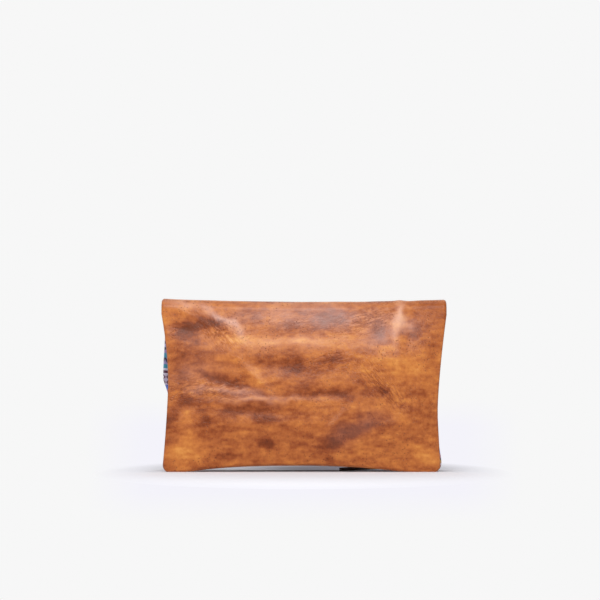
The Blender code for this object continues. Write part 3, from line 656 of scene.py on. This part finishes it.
def plain_weave(name, thread, gap_colour, pitch, axes="XZ"):
    """Woven cotton: over-and-under threads, matt and slightly fuzzy."""
    made, tree, place = new_material(name, Roughness=0.88, Sheen_Weight=0.3)
    parts = add_node(tree, "ShaderNodeSeparateXYZ", {"Vector": place}).outputs
    first, second = [thread_wave(tree, parts[axis], pitch) for axis in axes]
    share = rescale(tree, times(tree, first, second), -1.0, 1.0, 0.0, 1.0)
    attach(tree, Base_Color=ramp(tree, share, ((0.0, gap_colour), (0.7, thread))),
           Normal=bump(tree, share, 0.5, 0.0003))
    return made


# Stripes of the flap cloth: width in millimetres and colour
STRIPES = (
    (1.0, "C4688F"), (2.6, "2E2350"), (3.1, "B9A9D6"), (2.8, "241C40"), (3.0, "A98CC6"), (5.0, "3E9EC0"),
    (6.5, "A79CD0"), (4.0, "3C98B4"), (2.4, "DCD3E6"), (2.6, "5A2145"), (1.4, "DCD3E6"), (10.6, "CFC2DE"),
    (5.0, "4A6FD0"), (4.0, "C4588C"), (2.5, "2E2350"), (3.0, "D4A23C"), (2.0, "DCD3E6"), (3.5, "7A2E5C"),
)
REPEAT = sum(stripe[0] for stripe in STRIPES)
ZIGZAG_STRIPE = 6
RING_STRIPE = 11

# The patterns' lengths and the threads' pitches in metres, and the patterns' reach and colours
ZIGZAG_LENGTH = 0.0070
RING_LENGTH = 0.0056
WARP_PITCH = 0.0012
WEFT_PITCH = 0.0010
RAGGED = 0.0007
ZIGZAG_REACH = 0.28
ZIGZAG_COLOUR = "2A1F46"
RINGS = ((1.0, "5A2145"), (0.42, "E8D9E6"))
WEAVE_GAP = "1B1626"

# Left selvedge of the cloth, where its pattern starts, from the middle of the clutch
SELVEDGE = 0.150


def band_share(tree, position, first):
    """How far a thread lies through one stripe, from 0 to 1 inside it."""
    start = sum(stripe[0] for stripe in STRIPES[:first]) / REPEAT
    return rescale(tree, position, start, start + STRIPES[first][0] / REPEAT, 0.0, 1.0, clamp=False)


def zigzag(tree, across, period):
    """Triangle wave from 0 to 1 and back along the cloth."""
    share = math_node(tree, "FRACT", math_node(tree, "DIVIDE", across, period))
    return times(tree, off_middle(tree, share), 2.0)


def inside(tree, share):
    """1 where a share lies between 0 and 1."""
    return math_node(tree, "LESS_THAN", off_middle(tree, share), 0.5)


def striped_cloth(name):
    """Hand-woven cotton in bands, with a zigzag band and a band of small diamonds: thick
    threads that stand out, matt and bright."""
    made, tree = new_material(name, Roughness=0.9, Sheen_Weight=0.35)[:2]
    uv = add_node(tree, "ShaderNodeUVMap", uv_map="UVMap").outputs["UV"]
    parts = add_node(tree, "ShaderNodeSeparateXYZ", {"Vector": uv}).outputs
    across = parts["X"]
    uneven = math_node(tree, "SUBTRACT", clouds(tree, uv, 700.0, Detail=2.0), 0.5)
    along = plus(tree, parts["Y"], times(tree, uneven, RAGGED))
    position = math_node(tree, "FRACT", math_node(tree, "DIVIDE", along, REPEAT / 1000.0))
    stops = []
    start = 0.0
    for width, colour in STRIPES:
        stops.append((start, colour))
        start += width / REPEAT
    colour = ramp(tree, position, stops, "CONSTANT")
    zig = band_share(tree, position, ZIGZAG_STRIPE)
    line = math_node(tree, "SUBTRACT", zig, zigzag(tree, across, ZIGZAG_LENGTH))
    line = math_node(tree, "LESS_THAN", math_node(tree, "ABSOLUTE", line), ZIGZAG_REACH)
    colour = mix_colour(tree, times(tree, line, inside(tree, zig)), colour, linear(ZIGZAG_COLOUR))
    row = band_share(tree, position, RING_STRIPE)
    half_row = math_node(tree, "FRACT", times(tree, row, 2.0))
    ring = times(tree, off_middle(tree, half_row), 2.0)
    ring = plus(tree, ring, zigzag(tree, across, RING_LENGTH))
    inner_row = inside(tree, row)
    for reach, thread in RINGS:
        mask = times(tree, math_node(tree, "LESS_THAN", ring, reach), inner_row)
        colour = mix_colour(tree, mask, colour, linear(thread))
    weave = times(tree, thread_wave(tree, across, WARP_PITCH), thread_wave(tree, along, WEFT_PITCH))
    colour = mix_colour(tree, rescale(tree, weave, -1.0, 1.0, 0.35, 0.0), colour, linear(WEAVE_GAP))
    attach(tree, Base_Color=colour, Normal=bump(tree, weave, 0.7, 0.0004))
    return made


def waxed_thread(name, colour):
    """Twisted, waxed polyester sewing thread."""
    made, tree, place = new_material(name, Roughness=0.5)
    twist = clouds(tree, place, 1500.0, Detail=1.0)
    attach(tree, Base_Color=ramp(tree, twist, ((0.3, "5A3A20"), (0.7, colour))))
    return made


def link_new(name, data):
    made = bpy.data.objects.new(name, data)
    bpy.context.scene.collection.objects.link(made)
    return made


def deselect():
    for item in list(bpy.context.selected_objects):
        item.select_set(False)


def finish_piece(piece, material, body, slot_name, *nodes):
    """Give a piece its finish and its body, and hide the nodes that it stands for. slot_name is not used.
    """
    piece.data.materials.clear()
    piece.data.materials.append(material)
    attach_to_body(piece, body)
    if nodes:
        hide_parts(*nodes)


def apply_modifiers(piece):
    deselect()
    piece.select_set(True)
    bpy.context.view_layer.objects.active = piece
    for change in list(piece.modifiers):
        bpy.ops.object.modifier_apply(modifier=change.name)


def grid_sheet(name, columns, rows, place):
    """A grid primitive whose vertices are moved to place(column, row)."""
    deselect()
    bpy.ops.mesh.primitive_grid_add(x_subdivisions=len(columns) - 1, y_subdivisions=len(rows) - 1,
                                    size=2.0, location=(0, 0, 0))
    piece = bpy.context.active_object
    piece.name = name
    uv = piece.data.uv_layers.active
    uv.name = "UVMap"
    flat = {}
    for vert in piece.data.vertices:
        column = round((vert.co.x + 1.0) / 2.0 * (len(columns) - 1))
        row = round((vert.co.y + 1.0) / 2.0 * (len(rows) - 1))
        point, cloth_place = place(columns[column], rows[row])
        vert.co = point
        flat[vert.index] = cloth_place
    for loop in piece.data.loops:
        uv.data[loop.index].uv = flat[loop.vertex_index]
    piece.data.update()
    return piece


def face_outwards(piece, centre):
    """Turn an open sheet so that its faces look away from a place inside the pouch."""
    bm = bmesh.new()
    bm.from_mesh(piece.data)
    bmesh.ops.recalc_face_normals(bm, faces=bm.faces)
    score = sum((face.calc_center_median() - centre(face)).dot(face.normal) for face in bm.faces)
    if score < 0:
        bmesh.ops.reverse_faces(bm, faces=bm.faces)
    bm.to_mesh(piece.data)
    bm.free()


def thicken(piece, thickness):
    wall = piece.modifiers.new("wall", "SOLIDIFY")
    wall.thickness = thickness
    wall.offset = -1.0
    wall.use_even_offset = True
    apply_modifiers(piece)
    piece.data.shade_smooth()
    piece.data.set_sharp_from_angle(angle=SHEET_SHARP)


def leather_rows(step, fold_step, rolls):
    """Rows of a leather panel from the bottom seam over the fold to the cloth."""
    body = edge_steps(rolls) + spread(EDGE_ROLL, BODY_RUN, step)
    past = spread(BODY_RUN, FLAP_START, fold_step)[1:] + spread(FLAP_START, TEXTILE_START, step)[1:]
    return [("body", distance) for distance in body] + [("s", s) for s in past]


def cloth_rows(start, step, rolls):
    """Rows of the flap's cloth from its start to the mouth."""
    edge = spread(MOUTH_RUN, EDGE_ROLL, step)[1:] + list(reversed(edge_steps(rolls)))
    flat = spread(start, MOUTH - MOUTH_RUN, step)
    return [("s", s) for s in flat] + [("mouth", distance) for distance in edge]


def waved(x, s, h, face, depth):
    """Height of a panel above the pouch's middle surface, with its soft waves."""
    if not depth:
        return h
    edge = smooth(h / EDGE_ROLL - EVEN_EDGE)
    past_fold = smooth((s - BODY_RUN + CALM_BEFORE) / CALM_RUN)
    return h + relief(bend(x, s, h * face), depth) * edge * mix(1.0, FOLD_RELIEF, past_fold)


# Height over the fold's centre of a place that the inner faces look away from
ABOVE_FOLD = 0.02


def panel_sheet(name, rows, step, rolls, face, depth):
    """A panel of the pouch as an open sheet. face is 1 outside and -1 in the folded gap."""
    columns = column_list(step, rolls)

    def place(column, row):
        x, s, h = flat_point(column, **{row[0]: row[1]})
        h = waved(x, s, h, face, depth)
        return bend(x, s, h * face), (x + SELVEDGE, s - TEXTILE_START)

    piece = grid_sheet(name, columns, rows, place)

    def centre(found):
        spot = found.calc_center_median()
        if spot.z > FOLD_CENTRE:
            return Vector((spot.x, Y_SHIFT, FOLD_CENTRE if face > 0 else FOLD_CENTRE + ABOVE_FOLD))
        on_flap = spot.y > Y_SHIFT
        lean = FLAP_LEAN if on_flap else -BODY_LEAN
        run = (FOLD_CENTRE - spot.z) * math.tan(lean)
        offset = FOLD_RADIUS if on_flap else -FOLD_RADIUS
        return Vector((spot.x, offset + run + Y_SHIFT, spot.z))

    face_outwards(piece, centre)
    return piece


class ClutchSizes(bpy.types.PropertyGroup):
    """Sizes that a user would change before modelling the clutch again."""
    leather: FloatProperty(name="Leather", description="Thickness of the leather", default=0.0014,
                           min=0.0005, max=0.004, unit="LENGTH")
    textile: FloatProperty(name="Textile", description="Thickness of the flap's cloth", default=0.0011,
                           min=0.0004, max=0.003, unit="LENGTH")
    fineness: FloatProperty(name="Grid", description="Spacing of the leather back's grid", default=0.00135,
                            min=0.0008, max=0.01, unit="LENGTH")
    relief: FloatProperty(name="Relief", description="Depth of the soft waves in the leather",
                          default=1.0, min=0.0, max=2.0, subtype="FACTOR")
    stitch: FloatProperty(name="Stitch", description="Length of one stitch with its gap", default=0.0034,
                          min=0.002, max=0.008, unit="LENGTH")
    thread: FloatProperty(name="Thread", description="Thickness of the sewing thread", default=0.0007,
                          min=0.0003, max=0.002, unit="LENGTH")
    tooth_bevel: FloatProperty(name="Metal bevel", description="Rounding of the metal's edges",
                               default=0.00016, min=0.0, max=0.0005, unit="LENGTH")


class StageSettings(bpy.types.PropertyGroup):
    """View and light of the photograph."""
    distance: FloatProperty(name="Distance", description="From the camera to the clutch", default=1.8,
                            min=0.5, max=6.0, unit="LENGTH")
    height: FloatProperty(name="Height", description="Height of the camera above the floor",
                          default=0.065, min=0.01, max=1.0, unit="LENGTH")
    key: FloatProperty(name="Key", description="Power of the soft light above", default=10.4, min=0.0)
    fill: FloatProperty(name="Fill", description="Power of each side light", default=3.5, min=0.0)


def paint_leather(piece):
    """Write the tone, the painted sheen and the fans of wrinkles on the leather as attributes."""
    painted = {"patina_and_painted_light": [], "painted_sheen": [], "falling": [], "rising": []}
    for vert in piece.data.vertices:
        facing = smooth((Y_SHIFT + FACING_PAST - vert.co.y) / FACING_RUN)
        px, py = photo_place(vert.co)
        drifted = warp(vert.co)
        # Painted sheen: a pale veil painted where the soft light above is reflected
        sheen = sum(mound(*drifted, patch, SHEEN_EDGE) for patch in PAINTED_SHEEN)
        sheen *= 1.0 + SHEEN_UNEVEN * noise.noise(vert.co * SHEEN_CLOUD)
        painted["patina_and_painted_light"].append(patina_and_painted_light(vert.co, facing))
        painted["painted_sheen"].append(facing * sheen)
        for name, fans in (("falling", WRINKLES_FALLING), ("rising", WRINKLES_RISING)):
            painted[name].append(facing * sum(mound(px, py, fan, FAN_EDGE) for fan in fans))
    for name, values in painted.items():
        piece.data.attributes.new(name, "FLOAT", "POINT").data.foreach_set("value", values)


class CLUTCH_OT_leather_back(bpy.types.Operator):
    """Model the leather back, which runs from the bottom seam over the fold."""
    bl_idname = "clutch.leather_back"
    bl_label = "Leather back"

    def execute(self, context):
        sizes = context.scene.clutch_sizes
        step = sizes.fineness
        rows = leather_rows(step, step, BACK_ROLLS)
        piece = panel_sheet("leather_back", rows, step, BACK_ROLLS, 1, sizes.relief)
        thicken(piece, sizes.leather)
        paint_leather(piece)
        finish_piece(piece, pull_up_leather("pull_up_leather_painted", True), "pouch", "tan_leather",
                     "back_panel")
        return {"FINISHED"}


class CLUTCH_OT_leather_front(bpy.types.Operator):
    """Model the leather that lines the folded gap down to the flap's cloth."""
    bl_idname = "clutch.leather_front"
    bl_label = "Leather in the fold"

    def execute(self, context):
        sizes = context.scene.clutch_sizes
        rows = leather_rows(FRONT_STEP, FRONT_FOLD_STEP, FRONT_ROLLS)
        piece = panel_sheet("leather_front", rows, FRONT_STEP, FRONT_ROLLS, -1, 0.0)
        thicken(piece, sizes.leather)
        finish_piece(piece, pull_up_leather("pull_up_leather_plain", False), "pouch", "tan_leather",
                     "front_panel")
        return {"FINISHED"}


class CLUTCH_OT_flap_cloth(bpy.types.Operator):
    """Model the hand-woven cloth on both faces of the flap."""
    bl_idname = "clutch.flap_cloth"
    bl_label = "Flap cloth"

    def execute(self, context):
        sizes = context.scene.clutch_sizes
        cotton = striped_cloth("hand_woven_cotton")
        start = TEXTILE_START + SEAM_GAP
        rows = cloth_rows(start, CLOTH_STEP, CLOTH_ROLLS)
        sides = (("flap_cloth", "flap_textile", 1, CLOTH_RELIEF, "zip_tape_outer_twill"),
                 ("flap_cloth_inner", "flap_textile_inner", -1, 0.0, "zip_tape_inner_twill"))
        for name, node, face, depth, support in sides:
            piece = panel_sheet(name, rows, CLOTH_STEP, CLOTH_ROLLS, face, depth)
            thicken(piece, sizes.textile)
            finish_piece(piece, cotton, "pouch", "woven_textile", node)
        return {"FINISHED"}


def merged_copy(node, name):
    """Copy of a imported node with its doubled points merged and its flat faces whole."""
    source = frame["nodes"][node]
    mesh = source.data.copy()
    bm = bmesh.new()
    bm.from_mesh(mesh)
    bmesh.ops.remove_doubles(bm, verts=bm.verts, dist=0.000002)
    bmesh.ops.dissolve_limit(bm, angle_limit=math.radians(1.0), verts=bm.verts, edges=bm.edges)
    bm.to_mesh(mesh)
    bm.free()
    return link_new(name, mesh)


def round_edges(piece, width):
    soften = piece.modifiers.new("edge", "BEVEL")
    soften.width = width
    soften.segments = 2
    soften.limit_method = "ANGLE"
    soften.angle_limit = BEVEL_FROM
    apply_modifiers(piece)
    piece.data.shade_smooth()
    piece.data.set_sharp_from_angle(angle=EDGE_SHARP)


class CLUTCH_OT_zip_metal(bpy.types.Operator):
    """Round the cast edges of the teeth, stops, slider, link and rivet."""
    bl_idname = "clutch.zip_metal"
    bl_label = "Zip metal"

    def execute(self, context):
        brass = antique_brass("antique_brass")
        width = context.scene.clutch_sizes.tooth_bevel
        owners = {"zip_teeth_outer": "pouch", "zip_teeth_inner": "pouch", "top_stop_outer": "pouch",
                  "top_stop_inner": "pouch", "bottom_stop": "pouch", "slider_body": "slider",
                  "strap_rivet": "strap"}
        for node, body in owners.items():
            piece = merged_copy(node, node + "_cast")
            round_edges(piece, width)
            finish_piece(piece, brass, body, "antique_brass", node)
        link = merged_copy("pull_link", "pull_link_wire")
        finer = link.modifiers.new("round", "SUBSURF")
        finer.levels = 2
        finer.render_levels = 2
        apply_modifiers(link)
        link.data.shade_smooth()
        finish_piece(link, brass, "link", "antique_brass", "pull_link")
        return {"FINISHED"}


def stitch_run(name, places, thickness, material, body, slot_name):
    """A row of stitches. places are (middle, direction, outward, length)."""
    deselect()
    bpy.ops.mesh.primitive_uv_sphere_add(segments=8, ring_count=6, radius=0.5, location=(0, 0, 0))
    sample = bpy.context.active_object
    shape = sample.data
    bpy.data.objects.remove(sample, do_unlink=True)
    bm = bmesh.new()
    for middle, direction, outward, length in places:
        side = direction.cross(outward).normalized()
        turn = Matrix((direction * length, side * thickness, outward * thickness)).transposed().to_4x4()
        start = len(bm.verts)
        bm.from_mesh(shape)
        bm.verts.ensure_lookup_table()
        bmesh.ops.transform(bm, matrix=Matrix.Translation(middle) @ turn, verts=bm.verts[start:])
    bmesh.ops.recalc_face_normals(bm, faces=bm.faces)
    mesh = bpy.data.meshes.new(name)
    bm.to_mesh(mesh)
    bm.free()
    bpy.data.meshes.remove(shape)
    mesh.shade_smooth()
    finish_piece(link_new(name, mesh), material, body, slot_name)


def seam_places(s, reach, face, pitch, lift, depth):
    """Stitch places across the pouch at one length."""
    def surface(x):
        return bend(x, s, (waved(x, s, SEAM_GAP / 2 + half_height(s, x), face, depth) + lift) * face)

    places = []
    outward = Vector((0.0, *path(s)[2])) * face
    for index in range(int(2 * reach / pitch)):
        x = -reach + pitch * (index + 0.5)
        here = surface(x)
        after = surface(x + STITCH_STEP)
        places.append((here, (after - here).normalized(), outward, pitch * STITCH_SHARE))
    return places


class CLUTCH_OT_seams(bpy.types.Operator):
    """Sew the flap's join and the two edges of the mouth."""
    bl_idname = "clutch.seams"
    bl_label = "Seams"

    def execute(self, context):
        sizes = context.scene.clutch_sizes
        thread = waxed_thread("tan_thread", "C08A4E")
        lift = sizes.thread * STITCH_LIFT
        rows = (("join_stitches", TEXTILE_START - JOIN_SEAM, JOIN_REACH, 1, sizes.relief),
                ("mouth_stitches_outer", MOUTH - MOUTH_SEAM, MOUTH_REACH, 1, CLOTH_RELIEF),
                ("mouth_stitches_inner", MOUTH - MOUTH_SEAM, MOUTH_REACH, -1, 0.0))
        for name, s, reach, face, depth in rows:
            stitch_run(name, seam_places(s, reach, face, sizes.stitch, lift, depth), sizes.thread,
                       thread, "pouch", "tan_leather")
        return {"FINISHED"}


class CLUTCH_OT_tapes(bpy.types.Operator):
    """Finish the zip's tapes and the lining as woven cloth."""
    bl_idname = "clutch.tapes"
    bl_label = "Tapes and lining"

    def execute(self, context):
        twill = plain_weave("polyester_twill_tape", "3A2416", "170C07", 0.0007, "XY")
        for node in ("zip_tape_outer", "zip_tape_inner"):
            piece = merged_copy(node, node + "_twill")
            round_edges(piece, TAPE_EDGE)
            finish_piece(piece, twill, "pouch", "zip_tape", node)
        cotton = plain_weave("lining_cotton", "C9B692", "8B7A5C", 0.0008)
        lining = merged_copy("lining_bag", "lining_cloth")
        lining.data.shade_smooth()
        finish_piece(lining, cotton, "pouch", "lining_cotton", "lining_bag")
        return {"FINISHED"}


class CLUTCH_OT_pull(bpy.types.Operator):
    """Soften the dark leather pull and sew its two plies together."""
    bl_idname = "clutch.pull"
    bl_label = "Zip pull"

    def execute(self, context):
        sizes = context.scene.clutch_sizes
        leather = dark_leather("dark_brown_cowhide")
        piece = merged_copy("pull_strap", "pull_strap_leather")
        round_edges(piece, PULL_EDGE)
        finish_piece(piece, leather, "strap", "brown_leather", "pull_strap")
        origin = Vector(JOINTS["strap_swing"]["pos_m"])
        axis = Vector(JOINTS["strap_swing"]["axis"])
        yaw = math.atan2(axis.x, -axis.y)
        turn = Matrix.Rotation(yaw, 3, "Z") @ Matrix.Rotation(-STRAP_PITCH, 3, "Y")
        count = int((STRAP_LENGTH - PULL_SEAM_SHORT) / sizes.stitch)
        places = []
        for face in (1, -1):
            for side in (1, -1):
                for index in range(count):
                    flat = Vector((-PULL_SEAM_START - sizes.stitch * index, side * PULL_SEAM_SIDE,
                                   face * (STRAP_FACE + PULL_STITCH_LIFT)))
                    places.append((origin + turn @ flat, turn @ Vector((1, 0, 0)),
                                   turn @ Vector((0, 0, face)), sizes.stitch * PULL_STITCH_SHARE))
        stitch_run("pull_stitches", places, sizes.thread * 0.6, waxed_thread("brown_thread", "6E4526"),
                   "strap", "brown_leather")
        return {"FINISHED"}


# White sweep: its size and the rise of its far side, its even white and its painted violet shade,
# and its diffuse paper near the clutch, in the open and in the painted shade behind it
SWEEP_SIZE = 8.0
SWEEP_RISE = 6.0
EVEN_WHITE = "F7F7F7"
VIOLET_SHADE_WHITE = "F4F3FA"
PAPER = (0.845, 0.842, 0.885, 1.0)
SHADED_PAPER = (0.36, 0.34, 0.38, 1.0)

# Where the sweep's tones change, in metres: the painted violet shade to both sides, in front and
# upwards, the paper round the foot, which reaches further in depth, and the painted shade round its middle
VIOLET_SHADE_ASIDE = (0.160, 0.218)
VIOLET_SHADE_BEFORE = (-0.80, -0.45)
VIOLET_SHADE_UP = (0.0, 0.09)
PAPER_REACH = (0.150, 0.205)
PAPER_DEPTH = 0.5
SHADE_REACH = (0.030, 0.130)
SHADE_MIDDLE = (0.035, 0.085, 0.0)

# Width of the camera's sensor in millimetres
SENSOR = 36.0

# Soft lights: place and size, and the share of the fill's power in the last four
CARD_TARGET = (0.0, 0.0, 0.09)
KEY_CARD = ("key_card", (-0.10, -1.00, 0.74), (1.1, 0.22))
FILL_CARDS = (
    (("left_card", (-1.3, -0.7, 0.6), (0.8, 1.1)), 1.0),
    (("right_card", (1.3, -0.7, 0.6), (0.8, 1.1)), 1.0),
    (("back_card", (0.0, 1.3, 1.3), (1.6, 0.9)), 0.6),
    (("top_card", (0.0, 0.0, 1.5), (1.2, 0.6)), 1.3),
)
WORLD_LIGHT = 0.15


def studio_card(card, power):
    """Soft rectangular light that faces the clutch."""
    name, location, size = card
    lamp = bpy.data.lights.new(name, "AREA")
    lamp.shape = "RECTANGLE"
    lamp.size, lamp.size_y = size
    lamp.energy = power
    made = link_new(name, lamp)
    made.location = location
    made.rotation_euler = (Vector(CARD_TARGET) - Vector(location)).to_track_quat("-Z", "Y").to_euler()


def sweep_material(distance):
    """White paper sweep: paper that takes the shade round the foot and is painted darker behind it as
    shade, a faint painted violet shade beside and before it, and one even white further out. distance is
    the camera's."""
    made = bpy.data.materials.new("white_sweep")
    made.use_nodes = True
    tree = made.node_tree
    tree.nodes.clear()
    place = add_node(tree, "ShaderNodeTexCoord").outputs["Object"]
    parts = add_node(tree, "ShaderNodeSeparateXYZ", {"Vector": place}).outputs
    depth = math_node(tree, "DIVIDE", plus(tree, parts["Y"], distance), distance)
    aside = math_node(tree, "DIVIDE", math_node(tree, "ABSOLUTE", parts["X"]), depth)
    # Painted violet shade of the clutch, mixed into the even white beside, before and behind it
    violet_shade = times(tree, rescale(tree, aside, *VIOLET_SHADE_ASIDE, 1.0, 0.0),
                   rescale(tree, parts["Y"], *VIOLET_SHADE_BEFORE, 0.0, 1.0))
    violet_shade = times(tree, violet_shade, rescale(tree, parts["Z"], *VIOLET_SHADE_UP, 1.0, 0.0))
    tint = mix_colour(tree, violet_shade, linear(EVEN_WHITE), linear(VIOLET_SHADE_WHITE))
    even = add_node(tree, "ShaderNodeEmission", {"Color": tint})
    flat = add_node(tree, "ShaderNodeCombineXYZ", {"X": parts["X"],
                    "Y": times(tree, parts["Y"], PAPER_DEPTH)}).outputs["Vector"]
    away = add_node(tree, "ShaderNodeVectorMath", {0: flat}, operation="LENGTH").outputs["Value"]
    near = rescale(tree, away, *PAPER_REACH, 1.0, 0.0)
    span = add_node(tree, "ShaderNodeVectorMath", {0: place, 1: SHADE_MIDDLE},
                    operation="DISTANCE").outputs["Value"]
    shade = rescale(tree, span, *SHADE_REACH, 1.0, 0.0, interpolation_type="SMOOTHERSTEP")
    paper = add_node(tree, "ShaderNodeBsdfDiffuse", {"Color": mix_colour(tree, shade, PAPER, SHADED_PAPER)})
    both = add_node(tree, "ShaderNodeMixShader", {0: near, 1: even.outputs[0], 2: paper.outputs[0]})
    add_node(tree, "ShaderNodeOutputMaterial", {"Surface": both.outputs[0]})
    return made


class CLUTCH_OT_stage(bpy.types.Operator):
    """Set the camera, the soft light and the white sweep."""
    bl_idname = "clutch.stage"
    bl_label = "Stage"

    def execute(self, context):
        settings = context.scene.clutch_stage
        scene = context.scene
        scene.view_settings.view_transform = "Standard"
        half = SWEEP_SIZE / 2
        rows = ((-half, 0.0), (half, 0.0), (half, SWEEP_RISE))
        paper = bpy.data.meshes.new("sweep")
        paper.from_pydata([(x, y, z) for y, z in rows for x in (-half, half)], [],
                          ((0, 1, 3, 2), (2, 3, 5, 4)))
        paper.materials.append(sweep_material(settings.distance))
        link_new("sweep", paper)
        picture = PHOTO_CENTRE * 2
        foot = (PHOTO_FOOT[1] - PHOTO_CENTRE) * PIXEL
        lens = bpy.data.cameras.new("photo_camera")
        lens.sensor_width = SENSOR
        lens.lens = SENSOR * settings.distance / (picture * PIXEL)
        lens.shift_x = (PHOTO_CENTRE - PHOTO_FOOT[0]) / picture
        lens.shift_y = (foot - settings.height) / (picture * PIXEL)
        camera = link_new("photo_camera", lens)
        camera.location = (0.0, -settings.distance, settings.height)
        camera.rotation_euler = (math.radians(90.0), 0.0, 0.0)
        scene.camera = camera
        studio_card(KEY_CARD, settings.key)
        for card, share in FILL_CARDS:
            studio_card(card, settings.fill * share)
        world = bpy.data.worlds.new("studio") if scene.world is None else scene.world
        scene.world = world
        world.use_nodes = True
        sky = world.node_tree.nodes["Background"]
        sky.inputs["Color"].default_value = (1.0, 1.0, 1.0, 1.0)
        sky.inputs["Strength"].default_value = WORLD_LIGHT
        return {"FINISHED"}


OPERATORS = (CLUTCH_OT_stage, CLUTCH_OT_leather_back, CLUTCH_OT_leather_front, CLUTCH_OT_tapes,
             CLUTCH_OT_flap_cloth, CLUTCH_OT_zip_metal, CLUTCH_OT_seams, CLUTCH_OT_pull)


class CLUTCH_PT_panel(bpy.types.Panel):
    """Sizes and steps of the clutch."""
    bl_idname = "CLUTCH_PT_panel"
    bl_label = "Fold-over clutch"
    bl_space_type = "VIEW_3D"
    bl_region_type = "UI"
    bl_category = "Clutch"

    def draw(self, context):
        for group in (context.scene.clutch_sizes, context.scene.clutch_stage):
            for name in group.__annotations__:
                self.layout.prop(group, name)
        for operator in OPERATORS:
            self.layout.operator(operator.bl_idname)


CLASSES = (ClutchSizes, StageSettings) + OPERATORS + (CLUTCH_PT_panel,)


def register():
    for item in CLASSES:
        bpy.utils.register_class(item)
    bpy.types.Scene.clutch_sizes = PointerProperty(type=ClutchSizes)
    bpy.types.Scene.clutch_stage = PointerProperty(type=StageSettings)


def unregister():
    del bpy.types.Scene.clutch_stage
    del bpy.types.Scene.clutch_sizes
    for item in reversed(CLASSES):
        bpy.utils.unregister_class(item)


def main():
    register()
    for operator in OPERATORS:
        group, name = operator.bl_idname.split(".")
        getattr(getattr(bpy.ops, group), name)()


if __name__ == "__main__":
    main()
